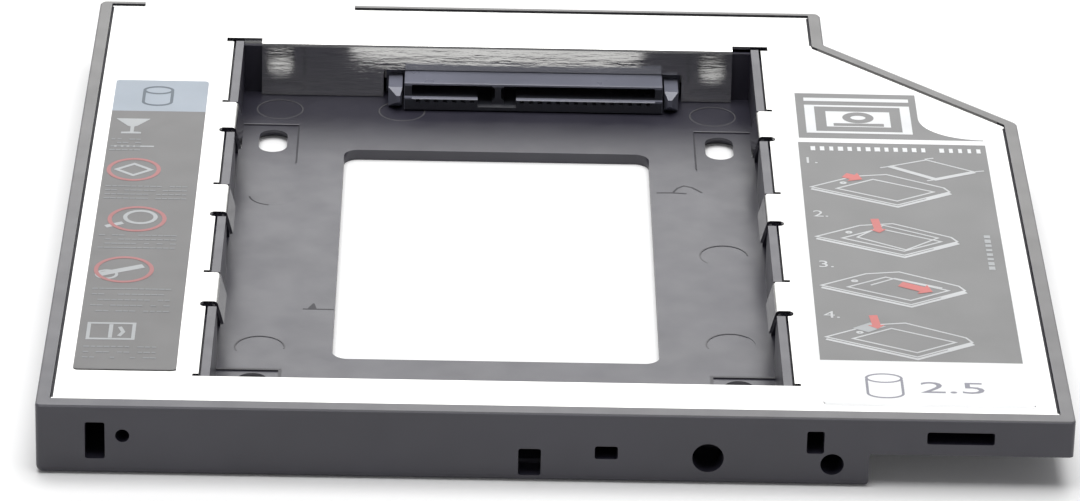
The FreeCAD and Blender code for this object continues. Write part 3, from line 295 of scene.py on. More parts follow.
class Recipe:
    """Node tree of one finish, with short ways to add its nodes."""

    def __init__(self, name):
        self.material = bpy.data.materials.new(name)
        self.material.use_nodes = True
        self.tree = self.material.node_tree
        self.tree.nodes.clear()
        self.shader = self.add("ShaderNodeBsdfPrincipled")
        self.add("ShaderNodeOutputMaterial", {"Surface": self.shader.outputs["BSDF"]})
        self.place = self.add("ShaderNodeTexCoord").outputs["Object"]

    def add(self, kind, feeds=None, **values):
        return add_node(self.tree, kind, feeds, **values)

    def set(self, **values):
        """Sets the shader's sockets; underscores stand for spaces."""
        for key, value in values.items():
            feed(self.tree, value, self.shader.inputs[key.replace("_", " ")])

    def stretched(self, scale):
        feeds = {"Vector": self.place, "Scale": scale}
        return self.add("ShaderNodeMapping", feeds).outputs["Vector"]

    def noise(self, size, detail=2.0, vector=None, roughness=0.5):
        """Noise whose features are about size metres across."""
        feeds = {"Scale": 1.0 / size, "Detail": detail, "Roughness": roughness}
        feeds["Vector"] = vector or self.place
        return self.add("ShaderNodeTexNoise", feeds).outputs["Fac"]

    def spread(self, value, low, high, start=0.3, end=0.7):
        """Noise from start to end turned into a range of numbers."""
        feeds = {
            "Value": value,
            "From Min": start,
            "From Max": end,
            "To Min": low,
            "To Max": high,
        }
        return self.add("ShaderNodeMapRange", feeds).outputs["Result"]

    def blend(self, factor, first, second):
        """Mix of two colours, each an output or three numbers."""
        feeds = {0: factor}
        for socket, value in ((6, first), (7, second)):
            feeds[socket] = value if isinstance(value, bpy.types.NodeSocket) else (*value, 1)
        return self.add("ShaderNodeMix", feeds, data_type="RGBA").outputs[2]

    def shades(self, value, colour, depth):
        """Colour that strays by depth to both sides with the noise."""
        dark = [c * (1 - depth) for c in colour]
        light = [min(c * (1 + depth), 1) for c in colour]
        return self.blend(self.spread(value, 0, 1), dark, light)

    def axes(self):
        """X, Y and Z of the place."""
        parts = self.add("ShaderNodeSeparateXYZ", {0: self.place}).outputs
        return parts["X"], parts["Y"], parts["Z"]

    def maths(self, operation, first, second):
        """Result of one Math node."""
        feeds = {0: first, 1: second}
        return self.add("ShaderNodeMath", feeds, operation=operation).outputs[0]

    def relief(self, value, height, before=None, strength=1.0):
        """Bump of the given height in metres, on top of an earlier one."""
        feeds = {"Height": value, "Distance": height, "Strength": strength}
        if before is not None:
            feeds["Normal"] = before
        return self.add("ShaderNodeBump", feeds).outputs["Normal"]


def dress(node, material):
    """Gives a CAD node its finish."""
    mesh = NODES[node].data
    mesh.materials.clear()
    mesh.materials.append(material)


def plastic_of(recipe, tint, roughness, grain, ior):
    """Rest of a moulded plastic whose colour is given."""
    recipe.set(
        Base_Color=tint,
        Roughness=recipe.spread(recipe.noise(0.004, 4), roughness - 0.03, roughness + 0.05),
        Normal=recipe.relief(recipe.noise(grain, 2), grain * 0.05, strength=0.5),
        IOR=ior,
    )
    return recipe.material


def moulded_plastic(name, colour, roughness, grain, ior=1.5, rim=None):
    """Moulded plastic; rim is the height above which the rim's top gets a painted highlight,
    and the highlight's colour.
    """
    recipe = Recipe(name)
    tint = recipe.shades(recipe.noise(0.018, 3), colour, 0.12)
    if rim:
        height, painted_light = rim
        # Painted highlight: the rim's top is lighter, more so towards the right rear
        x, y, z = recipe.axes()
        along = recipe.maths("MULTIPLY", y, 1 / RIM_HIGHLIGHT_FADE[1])
        across = recipe.maths("MULTIPLY", x, 1 / RIM_HIGHLIGHT_FADE[0])
        rim_light = recipe.spread(recipe.maths("ADD", along, across), 0, 1, -0.8, 0.2)
        above = recipe.maths("GREATER_THAN", z, height)
        tint = recipe.blend(recipe.maths("MULTIPLY", rim_light, above), tint, painted_light)
    return plastic_of(recipe, tint, roughness, grain, ior)


def tray_plastic(name, rim=None):
    finish = settings()[1]
    return moulded_plastic(
        name, finish.tray_colour, finish.tray_roughness, finish.grain_size, TRAY_IOR, rim
    )


def painted_light_plastic(name, colour, share, roughness):
    """Plastic of a mark or an edge in a share of a colour, which paints light or shade on it.
    """
    return moulded_plastic(name, [c * share for c in colour], roughness, PAINTED_MARK_GRAIN)


def socket_plastic(name, colour, roughness, grain):
    """Connector plastic with painted shade inside the mouth and on the lower jaw."""
    recipe = Recipe(name)
    x, y, z = recipe.axes()
    beside = recipe.maths("ABSOLUTE", recipe.maths("SUBTRACT", x, NOSE_MIDDLE), 0)
    jaw = recipe.maths("LESS_THAN", z, MOUTH_TOP)
    jaw = recipe.maths("MULTIPLY", jaw, recipe.maths("LESS_THAN", beside, NOSE_HALF))
    lip = recipe.maths("LESS_THAN", y, LIP_REAR)
    lip = recipe.maths("MULTIPLY", lip, recipe.maths("GREATER_THAN", z, LIP_FOOT))
    # Painted shade: the mouth's inside and the lower jaw are darkened to a fifth of the colour
    mouth_shade = recipe.maths("MAXIMUM", recipe.maths("SUBTRACT", jaw, lip), 0)
    tint = recipe.shades(recipe.noise(0.018, 3), colour, 0.12)
    tint = recipe.blend(mouth_shade, tint, [c * 0.2 for c in colour])
    return plastic_of(recipe, tint, roughness, grain, 1.5)


def rolled_sheet(name, colour, roughness, under):
    """Bright sheet with a rolling grain, crumpled and bowed on the flange.

    The flange is what hangs below the height under. Its bow is strongest at both
    ends, and its crumple in the middle.
    """
    recipe = Recipe(name)
    grain = recipe.noise(0.0006, 3, recipe.stretched((0.12, 0.3, 1)))
    cloud = recipe.noise(0.012, 3)
    x, y, z = recipe.axes()
    hangs = recipe.maths("LESS_THAN", z, under)
    behind = recipe.maths("GREATER_THAN", y, FOLD_PLACE)
    flange = recipe.maths("MULTIPLY", hangs, behind)
    crumple = recipe.noise(0.0007, 3, recipe.stretched((0.22, 1, 1.6)), 0.6)
    off = recipe.maths("SUBTRACT", z, BOW_MIDDLE)
    bow = recipe.maths("MULTIPLY", recipe.maths("POWER", off, 2.0), 0.5 / BOW_RADIUS)
    beside = recipe.maths("ABSOLUTE", recipe.maths("SUBTRACT", x, FOLD_MIDDLE), 0)
    ends = recipe.spread(beside, 0.3, 1.0, *CALM_ENDS)
    calm = recipe.spread(beside, CRUMPLE_HEIGHT * 1.8, CRUMPLE_HEIGHT, *CALM_ENDS)
    waves = recipe.maths("MULTIPLY", crumple, calm)
    bent = recipe.maths("ADD", recipe.maths("MULTIPLY", bow, ends), waves)
    bent = recipe.maths("MULTIPLY", bent, flange)
    matt = recipe.spread(grain, roughness - 0.03, roughness + 0.04)
    recipe.set(
        Base_Color=recipe.shades(cloud, colour, 0.03),
        Metallic=1.0,
        Roughness=recipe.maths("SUBTRACT", matt, recipe.maths("MULTIPLY", flange, 0.05)),
        Normal=recipe.relief(bent, 1.0, recipe.relief(grain, 0.00001, strength=0.8)),
    )
    return recipe.material


def plated_metal(name, colour, roughness):
    recipe = Recipe(name)
    recipe.set(
        Base_Color=recipe.shades(recipe.noise(0.0012, 3), colour, 0.08),
        Metallic=1.0,
        Roughness=recipe.spread(recipe.noise(0.0006, 2), roughness, roughness + 0.12),
    )
    return recipe.material


def board_mask(name, colour):
    """Solder mask over copper tracks that stand out a little."""
    recipe = Recipe(name)
    feeds = {"Vector": recipe.stretched((1, 1, 0)), "Scale": 110.0, "Mortar Size": 0.02}
    tracks = recipe.add("ShaderNodeTexBrick", feeds).outputs["Fac"]
    light = [min(1.0, c * 1.7) for c in colour]
    recipe.set(
        Base_Color=recipe.blend(tracks, light, colour),
        Roughness=recipe.spread(recipe.noise(0.002, 3), 0.3, 0.42),
        Normal=recipe.relief(tracks, 0.02 * MM, strength=0.4),
    )
    return recipe.material


def fired_ceramic(name, colour):
    recipe = Recipe(name)
    recipe.set(
        Base_Color=recipe.shades(recipe.noise(0.0004, 3), colour, 0.15),
        Roughness=recipe.spread(recipe.noise(0.0003, 2), 0.45, 0.6),
    )
    return recipe.material


def label_film(name, colour, roughness=0.5, rear_colour=None, border=0.0):
    """Printed film with a faint ripple and painted shade that makes it a little darker towards
    the front.

    Behind the border its sides are seen in the rear colour.
    """
    recipe = Recipe(name)
    _, y, _ = recipe.axes()
    # Painted shade: darker towards the front
    front_shade = recipe.spread(y, -0.17, 0.17, -0.055, 0.045)
    cloud = recipe.maths("ADD", recipe.noise(0.006, 3), front_shade)
    tint = recipe.shades(cloud, colour, 0.06)
    if rear_colour is not None:
        behind = recipe.maths("GREATER_THAN", y, border)
        tint = recipe.blend(behind, tint, recipe.shades(cloud, rear_colour, 0.06))
    recipe.set(
        Base_Color=tint,
        Roughness=recipe.spread(recipe.noise(0.003, 3), roughness - 0.03, roughness + 0.05),
        Normal=recipe.relief(recipe.noise(0.004, 2), 0.00001, strength=0.25),
        Specular_IOR_Level=0.3,
    )
    return recipe.material


# Flat print made of closed, very thin pieces

def turned_ccw(loop):
    area = sum(a[0] * b[1] - b[0] * a[1] for a, b in zip(loop, loop[1:] + loop[:1]))
    return loop if area > 0 else loop[::-1]


def rectangle(x0, y0, x1, y1):
    return [(x0, y0), (x1, y0), (x1, y1), (x0, y1)]


def arc(x, y, rx, ry, start, end, steps):
    angles = [math.radians(start + (end - start) * i / steps) for i in range(steps + 1)]
    return [(x + rx * math.cos(a), y + ry * math.sin(a)) for a in angles]


def ring_points(x, y, rx, ry, steps=40):
    return arc(x, y, rx, ry, 0, 360, steps)[:-1]


def skin(bm, first, last):
    """Closed bar between two outlines."""
    for i in range(len(first)):
        j = (i + 1) % len(first)
        bm.faces.new((first[i], first[j], last[j], last[i]))
    bm.faces.new(first[::-1])
    bm.faces.new(last)


def outward(bm, name):
    """Mesh of the forms drawn so far, with its normals outwards."""
    bmesh.ops.recalc_face_normals(bm, faces=bm.faces[:])
    mesh = bpy.data.meshes.new(name)
    bm.to_mesh(mesh)
    bm.free()
    return mesh


def bar_between(ends, name):
    """Mesh of one bar; ends are the points of its two outlines, in metres."""
    bm = bmesh.new()
    skin(bm, *([bm.verts.new(point) for point in end] for end in ends))
    return outward(bm, name)


class Print:
    """Flat shapes of one colour between two heights; places are in millimetres."""

    def __init__(self, low, high):
        self.bm = bmesh.new()
        self.low = low
        self.high = high

    def rise(self):
        """Lifts the next shape a hair, so that shapes that cross share no face."""
        self.low += LAYER_STEP
        self.high += LAYER_STEP

    def prism(self, rows):
        """Lower and upper points of an outline."""
        bottom = [self.bm.verts.new((x * MM, y * MM, self.low)) for x, y in rows]
        top = [self.bm.verts.new((x * MM, y * MM, self.high)) for x, y in rows]
        return bottom, top

    def field(self, loop):
        self.rise()
        skin(self.bm, *self.prism(turned_ccw(loop)))

    def line(self, points, width, closed=False):
        """Line of even width with mitred corners."""
        self.rise()
        left = []
        right = []
        last = len(points) - 1
        for i, here in enumerate(points):
            back = points[i - 1] if closed or i > 0 else None
            ahead = points[(i + 1) % len(points)] if closed or i < last else None
            normals = []
            for a, b in ((back, here), (here, ahead)):
                if a is None or b is None:
                    continue
                run = Vector((b[0] - a[0], b[1] - a[1])).normalized()
                normals.append(Vector((-run.y, run.x)))
            middle = sum(normals, Vector((0, 0))).normalized()
            reach = width / 2 / max(middle.dot(normals[0]), 0.35)
            left.append((here[0] + middle.x * reach, here[1] + middle.y * reach))
            right.append((here[0] - middle.x * reach, here[1] - middle.y * reach))
        lb, lt = self.prism(left)
        rb, rt = self.prism(right)
        for i in range(len(points) if closed else last):
            j = (i + 1) % len(points)
            self.bm.faces.new((rt[i], rt[j], lt[j], lt[i]))
            self.bm.faces.new((lb[i], lb[j], rb[j], rb[i]))
            self.bm.faces.new((rb[i], rb[j], rt[j], rt[i]))
            self.bm.faces.new((lb[j], lb[i], lt[i], lt[j]))
        if not closed:
            self.bm.faces.new((lb[0], rb[0], rt[0], lt[0]))
            self.bm.faces.new((rb[last], lb[last], lt[last], rt[last]))

    def mesh(self, name):
        return outward(self.bm, name)


def layer(node, number):
    """Print on one layer of ink of a label; the lowest is 0."""
    low = layer_foot(node, number)
    return Print(low, low + INK_SHARE * settings()[2].ink)


def layer_foot(node, number):
    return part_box(node)[1].z + number * settings()[2].ink


def turn_about(node, angle):
    """Turn in the plane about the middle of a CAD node."""
    low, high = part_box(node)
    middle = (low + high) / 2
    middle.z = 0
    turn = Matrix.Rotation(angle, 4, "Z")
    return Matrix.Translation(middle) @ turn @ Matrix.Translation(-middle)


def add_piece(name, mesh, material, place=None):
    """Makes a mesh a piece of the frame, with its place in its mesh."""
    if place is not None:
        mesh.transform(place)
    mesh.materials.clear()
    mesh.materials.append(material)
    piece = bpy.data.objects.new(name, mesh)
    bpy.context.scene.collection.objects.link(piece)
    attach(piece, RIDES_ON)
    return piece


def add_prints(pieces, turn):
    """Adds prints; a piece is its name, its print and its colour."""
    for name, ink, colour in pieces:
        film = label_film(name.replace("_", " "), colour)
        add_piece(name, ink.mesh(name), film, turn)


def plain_mesh(maker, name):
    """Evaluated copy of a curve, text or modified object, as a mesh."""
    bpy.context.view_layer.update()
    graph = bpy.context.evaluated_depsgraph_get()
    mesh = bpy.data.meshes.new_from_object(maker.evaluated_get(graph))
    mesh.name = name
    return mesh


def digits(text, x, y, height, depth, stretch=1.0):
    """Plain numbers as closed meshes, standing on z = 0 at x, y."""
    curve = bpy.data.curves.new("digits", "FONT")
    curve.body = text
    curve.size = height * MM / 0.7
    curve.extrude = depth / 2
    curve.resolution_u = 3
    maker = bpy.data.objects.new("digits", curve)
    bpy.context.scene.collection.objects.link(maker)
    mesh = plain_mesh(maker, "digits")
    bpy.data.objects.remove(maker)
    mesh.transform(shift(x, y, depth / 2) @ Matrix.Diagonal((stretch, 1, 1, 1)))
    return mesh


# Rows of short bars, as Geometry Nodes

ROWS_NAME = "Print rows"
ROW_INPUTS = (
    ("Rows", "NodeSocketInt"),
    ("Row Pitch", "NodeSocketFloat"),
    ("Bars", "NodeSocketInt"),
    ("Bar Pitch", "NodeSocketFloat"),
    ("Shortest", "NodeSocketFloat"),
    ("Longest", "NodeSocketFloat"),
    ("Bar Height", "NodeSocketFloat"),
    ("Thickness", "NodeSocketFloat"),
    ("Left Out", "NodeSocketFloat"),
    ("Seed", "NodeSocketInt"),
    ("Ink", "NodeSocketMaterial"),
)


def row_tree():
    """Node tree that lays rows of bars of uneven length."""
    tree = bpy.data.node_groups.new(ROWS_NAME, "GeometryNodeTree")
    for name, kind in ROW_INPUTS:
        tree.interface.new_socket(name, in_out="INPUT", socket_type=kind)
    tree.interface.new_socket("Geometry", in_out="OUTPUT", socket_type="NodeSocketGeometry")

    def add(kind, feeds=None, **values):
        return add_node(tree, kind, feeds, **values).outputs

    given = add("NodeGroupInput")
    down = add("ShaderNodeMath", {0: given["Row Pitch"], 1: -1.0}, operation="MULTIPLY")[0]
    row_step = add("ShaderNodeCombineXYZ", {"Y": down})[0]
    bar_step = add("ShaderNodeCombineXYZ", {"X": given["Bar Pitch"]})[0]
    rows = add("GeometryNodeMeshLine", {"Count": given["Rows"], "Offset": row_step})[0]
    bars = add("GeometryNodeMeshLine", {"Count": given["Bars"], "Offset": bar_step})[0]
    grid = add("GeometryNodeInstanceOnPoints", {"Points": rows, "Instance": bars})[0]
    points = add("GeometryNodeRealizeInstances", {0: grid})[0]

    chance = add("FunctionNodeRandomValue", {"Seed": given["Seed"]}, data_type="FLOAT")[1]
    feeds = {0: chance, 1: given["Left Out"]}
    skip = add("FunctionNodeCompare", feeds, data_type="FLOAT", operation="LESS_THAN")[0]
    feeds = {"Geometry": points, "Selection": skip}
    kept = add("GeometryNodeDeleteGeometry", feeds, domain="POINT")[0]

    later = add("ShaderNodeMath", {0: given["Seed"], 1: 1.0}, operation="ADD")[0]
    feeds = {2: given["Shortest"], 3: given["Longest"], "Seed": later}
    length = add("FunctionNodeRandomValue", feeds, data_type="FLOAT")[1]
    feeds = {"X": length, "Y": given["Bar Height"], "Z": given["Thickness"]}
    size = add("ShaderNodeCombineXYZ", feeds)[0]
    feeds = {"Points": kept, "Instance": add("GeometryNodeMeshCube")[0], "Scale": size}
    laid = add("GeometryNodeInstanceOnPoints", feeds)[0]
    real = add("GeometryNodeRealizeInstances", {0: laid})[0]
    inked = add("GeometryNodeSetMaterial", {"Geometry": real, "Material": given["Ink"]})[0]
    add("NodeGroupOutput", {"Geometry": inked})
    return tree


def bar_rows(block, seed, ink):
    """Mesh of rows of bars whose first one is centred on the origin.

    block holds rows, row pitch, bars, bar pitch, shortest, longest, bar height and
    the share left out, in millimetres.
    """
    rows, row_pitch, bars, pitch, shortest, longest, height, left_out = block
    look = settings()[2]
    values = {
        "Rows": rows,
        "Row Pitch": row_pitch * MM,
        "Bars": bars,
        "Bar Pitch": pitch * MM,
        "Shortest": shortest * MM,
        "Longest": longest * MM,
        "Bar Height": height * MM,
        "Thickness": look.ink,
        "Left Out": left_out,
        "Seed": look.seed + seed,
        "Ink": ink,
    }
    maker = bpy.data.objects.new("rows", bpy.data.meshes.new("rows"))
    bpy.context.scene.collection.objects.link(maker)
    modifier = maker.modifiers.new("rows", "NODES")
    tree = bpy.data.node_groups.get(ROWS_NAME) or row_tree()
    sockets = {s.name: s.identifier for s in tree.interface.items_tree if s.in_out == "INPUT"}
    modifier.node_group = tree
    for name, value in values.items():
        modifier[sockets[name]] = value
    mesh = plain_mesh(maker, "rows")
    maker.modifiers.clear()
    bpy.data.objects.remove(maker)
    return mesh


def shift(x, y, z=0.0):
    """Move by x and y in millimetres and z in metres."""
    return Matrix.Translation((x * MM, y * MM, z))


def merged(meshes, name):
    bm = bmesh.new()
    for mesh in meshes:
        bm.from_mesh(mesh)
        bpy.data.meshes.remove(mesh)
    mesh = bpy.data.meshes.new(name)
    bm.to_mesh(mesh)
    bm.free()
    return mesh


# Operators

class FRAME_OT_tray(Operator):
    """Moulded finish of the tray"""

    bl_idname = "mounting_frame.tray"
    bl_label = "Tray finish"

    def execute(self, context):
        _, finish, _ = settings()
        # Painted highlight on the rim's top
        rim = (CAD_BOX[1].z - RIM_HIGHLIGHT_DEPTH, finish.rim_highlight_colour)
        dress("base_frame", tray_plastic("tray plastic", rim))
        return {"FINISHED"}


class FRAME_OT_sheet(Operator):
    """Rolled finish of the folded sheet"""

    bl_idname = "mounting_frame.sheet"
    bl_label = "Sheet finish"

    def execute(self, context):
        _, finish, _ = settings()
        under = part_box("cover_plate")[1].z - FOLD_DROP
        sheet = rolled_sheet("rolled sheet", finish.sheet_colour, finish.sheet_roughness, under)
        dress("cover_plate", sheet)
        return {"FINISHED"}


class FRAME_OT_connectors(Operator):
    """Finish of the connector bodies, their contacts and lugs"""

    bl_idname = "mounting_frame.connectors"
    bl_label = "Connector finishes"

    def execute(self, context):
        _, finish, _ = settings()
        body = moulded_plastic("connector plastic", finish.connector_colour, 0.3, 0.12 * MM)
        socket = socket_plastic("socket plastic", finish.connector_colour, 0.3, 0.12 * MM)
        gold = plated_metal("gold plating", (0.83, 0.6, 0.25), 0.22)
        tin = plated_metal("tinned lug", (0.62, 0.62, 0.6), 0.3)
        for node in NODES:
            if node == "drive_socket_body":
                dress(node, socket)
            elif node.endswith("_body"):
                dress(node, body)
            elif node.endswith("_contacts"):
                dress(node, gold)
            elif "_lug_" in node:
                dress(node, tin)
        return {"FINISHED"}


class FRAME_OT_board(Operator):
    """Finish of the small board, its parts and screws"""

    bl_idname = "mounting_frame.board"
    bl_label = "Board finishes"

    def execute(self, context):
        _, finish, _ = settings()
        dress("adapter_board", board_mask("solder mask", finish.board_colour))
        ochre = fired_ceramic("capacitor ceramic", (0.36, 0.24, 0.13))
        for node in ("board_filter_capacitors", "board_ceramic_capacitors"):
            dress(node, ochre)
        dress("board_resistors", fired_ceramic("resistor glaze", (0.02, 0.02, 0.025)))
        zinc = plated_metal("zinc plating", (0.42, 0.42, 0.41), 0.3)
        for node in ("board_screw_left", "board_screw_right"):
            dress(node, zinc)
        return {"FINISHED"}


def drum(print_lines, x, y, rx, ry, fall, width):
    """Outlined drum: a closed ellipse on top and a rounded foot."""
    print_lines.line(ring_points(x, y, rx, ry, 36), width, closed=True)
    foot = arc(x, y - fall, rx, ry, 180, 360, 18)
    print_lines.line([(x - rx, y - ry * 0.3)] + foot + [(x + rx, y - ry * 0.3)], width)


class FRAME_OT_left_print(Operator):
    """Fields, rings and rows of the tall left label"""

    bl_idname = "mounting_frame.left_print"
    bl_label = "Left print"

    def execute(self, context):
        _, _, look = settings()
        label = "caution_label"
        film = label_film(
            "left label film", look.body_colour, rear_colour=look.header_colour,
            border=HEADER_FRONT * MM,
        )
        dress(label, film)
        turn = turn_about(label, look.caution_turn)

        header = layer(label, 0)
        header.field(rectangle(-59.9, HEADER_FRONT, -47.35, 35.45))
        body = layer(label, 0)
        body.field(rectangle(-59.9, -52.55, -47.35, HEADER_FRONT))

        slate = layer(label, 1)
        drum(slate, -53.9, 32.3, 1.93, 1.15, 3.9, 0.42)

        pale = layer(label, 1)
        pale.field(list(GOBLET))
        pale.line([(-58.2, 6.2), (-55.9, 8.0), (-53.6, 6.2), (-55.9, 4.4)], 0.5, closed=True)
        pale.line(ring_points(-54.2, -8.6, 2.0, 1.9, 28), 0.55, closed=True)
        pale.line([(-58.6, -11.6), (-56.4, -10.4)], 0.8)
        pale.line([(-58.4, -25.9), (-56.4, -24.9), (-53.0, -23.3)], 1.1)
        pale.line(ring_points(-57.6, -25.9, 1.3, 1.2, 20), 0.4, closed=True)
        pale.line(rectangle(-58.9, -44.4, -53.2, -40.0), 0.45, closed=True)
        pale.line([(-56.1, -44.1), (-56.1, -40.3)], 0.5)
        pale.line([(-55.0, -43.6), (-54.5, -42.4), (-55.0, -41.0)], 0.5)
        pale.line([(-59.4, 13.6), (-53.6, 13.7)], 0.36)

        rings = layer(label, 2)
        for x, y, radius in RINGS:
            rings.line(ring_points(x, y, radius, radius, 44), 0.55, closed=True)

        pieces = (
            ("left_print_header", header, look.header_colour),
            ("left_print_body", body, look.body_colour),
            ("left_print_drum", slate, look.slate_colour),
            ("left_print_pale", pale, look.pale_colour),
            ("left_print_rings", rings, look.ring_colour),
        )
        add_prints(pieces, turn)

        dim = label_film("left print rows", [c * 0.56 for c in look.pale_colour])
        meshes = []
        for i, (x, y, *block) in enumerate(ROW_BLOCKS):
            rows = bar_rows(block, i, dim)
            rows.transform(shift(x, y, layer_foot(label, 1.5)))
            meshes.append(rows)
        add_piece("left_print_rows", merged(meshes, "rows"), dim, turn)
        return {"FINISHED"}


def tray_sketch(ink, x, y, width):
    """Slanted outline drawing of a tray with an open bay."""

    def at(u, v):
        """Point of the drawing: u runs along the long side, v along the short one."""
        return tuple(
            start + long * u + short * v
            for start, long, short in zip((x, y), SKETCH_LONG, SKETCH_SHORT)
        )

    outer = [at(0, 0), at(0.0, 0.82), at(0.16, 1.18), at(0.86, 1.12), at(1, 1), at(1, 0)]
    ink.line(outer, width, closed=True)
    low = [(px, py - 0.62) for px, py in (at(0, 0), at(1, 0), at(1, 0.98))]
    ink.line(low, width * 1.7)
    ink.line([at(0.2, 0.16), at(0.2, 0.86), at(0.9, 0.86), at(0.9, 0.16)], width, closed=True)
    ink.line(ring_points(*at(0.1, 0.45), 0.32, 0.24, 14), 0.3, closed=True)
    ink.line([at(1.04, 0.5), at(1.04, 0.95)], 0.75)


def arrow(ink, x, y, angle, length, width):
    """Block arrow whose tip is at x, y."""
    shape = [(0, 0), (-width, width), (-width, width / 2), (-length, width / 2),
             (-length, -width / 2), (-width, -width / 2), (-width, -width)]
    c = math.cos(math.radians(angle))
    s = math.sin(math.radians(angle))
    ink.field([(x + c * u - s * v, y + s * u + c * v) for u, v in shape])


class FRAME_OT_right_print(Operator):
    """Fields, numbered drawings and arrows of the right label"""

    bl_idname = "mounting_frame.right_print"
    bl_label = "Right print"

    def execute(self, context):
        _, _, look = settings()
        label = "guide_label"
        film = label_film("right label film", look.film_colour)
        dress(label, film)
        self.edge(label, film)
        turn = turn_about(label, look.guide_turn)
        line = look.line / MM

        grey = layer(label, 0)
        curve = arc(58.8, 27.2, 8.5, 6.75, 180, 270, 16)
        grey.field([(33.65, 20.2), (58.8, 20.2)] + curve[::-1] + [(50.3, 35.1), (33.65, 35.1)])
        grey.field(rectangle(33.45, -46.95, 58.95, 18.8))

        block = layer(label, 1)
        block.field(rectangle(34.8, 21.9, 49.3, 31.2))
        block.field(rectangle(34.8, 32.5, 49.3, 33.6))
        white = layer(label, 1)
        for x, y in SKETCH_PLACES:
            tray_sketch(white, x, y, line)
        white.line(list(LOOSE_PLATE), line, closed=True)
        white.line([LOOSE_PLATE[0], LOOSE_PLATE[3], LOOSE_PLATE[2]], 0.75)
        for tick in PLATE_TICKS:
            white.line(list(tick), line)
        bay = [(40.0, -11.0), (43.6, -7.2), (50.6, -10.8), (46.2, -14.6)]
        white.line(bay, line, closed=True)
        white.line([(41.0, -25.3), (44.2, -23.2), (50.2, -25.8)], line)
        pale = layer(label, 2)
        pale.field([(38.0, -37.9), (40.3, -36.2), (42.3, -37.2), (40.0, -39.0)])

        marks = layer(label, 2)
        marks.line(rectangle(36.9, 23.3, 47.2, 29.9), 1.5, closed=True)
        marks.line(ring_points(42.05, 27.1, 1.6, 1.25, 28), 1.1, closed=True)
        marks.line([(38.6, 24.75), (45.5, 24.75)], 0.9)

        red = layer(label, 3)
        for values in ARROWS:
            arrow(red, *values)

        drums = layer(label, 0)
        drum(drums, 41.2, -51.7, 2.2, 1.15, 4.2, 0.34)

        pieces = (
            ("right_print_fields", grey, look.panel_colour),
            ("right_print_block", block, look.white_colour),
            ("right_print_drawings", white, look.line_colour),
            ("right_print_pad", pale, look.pale_colour),
            ("right_print_marks", marks, look.panel_colour),
            ("right_print_arrows", red, look.red_colour),
            ("right_print_drum", drums, look.faint_colour),
        )
        add_prints(pieces, turn)

        numbers = [
            digits(str(i + 1) + ".", x, y, 1.9, look.ink, 1.15)
            for i, (x, y) in enumerate(NUMBER_PLACES)
        ]
        size = digits("2.5", 45.4, -55.5, 3.0, look.ink, 1.65)
        heading_ink = label_film("right print heading", look.white_colour)
        heading = bar_rows((1, 1, 19, 1.25, 0.45, 0.85, 1.3, 0.05), 11, heading_ink)
        heading.transform(shift(35.4, 16.8))
        side_ink = label_film("right print side rows", look.pale_colour)
        side = bar_rows((1, 1, 8, 1.35, 0.6, 1.1, 0.8, 0.05), 13, side_ink)
        side.transform(shift(57.1, -19.6) @ Matrix.Rotation(math.pi / 2, 4, "Z"))
        number_ink = label_film("right print numbers", look.line_colour)
        size_ink = label_film("right print size", look.faint_colour)
        lifted = (
            ("right_print_numbers", merged(numbers, "numbers"), number_ink, 1),
            ("right_print_size", size, size_ink, 0),
            ("right_print_heading", heading, heading_ink, 1.5),
            ("right_print_side_rows", side, side_ink, 1.5),
        )
        for name, mesh, ink, number in lifted:
            lift = shift(0, 0, layer_foot(label, number))
            add_piece(name, mesh, ink, turn @ lift)
        return {"FINISHED"}

    def edge(self, label, film):
        """Sloping foot along the label's front edge."""
        low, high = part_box(label)
        profile = (
            (low.y + EDGE_LAP, low.z + EDGE_GAP),
            (low.y + EDGE_LAP, high.z - EDGE_DROP),
            (low.y - EDGE_REACH, low.z + EDGE_GAP),
        )
        sides = (low.x + EDGE_SIDE, high.x - EDGE_SIDE)
        ends = [[(x, y, z) for y, z in profile] for x in sides]
        add_piece("right_label_edge", bar_between(ends, "edge"), film)


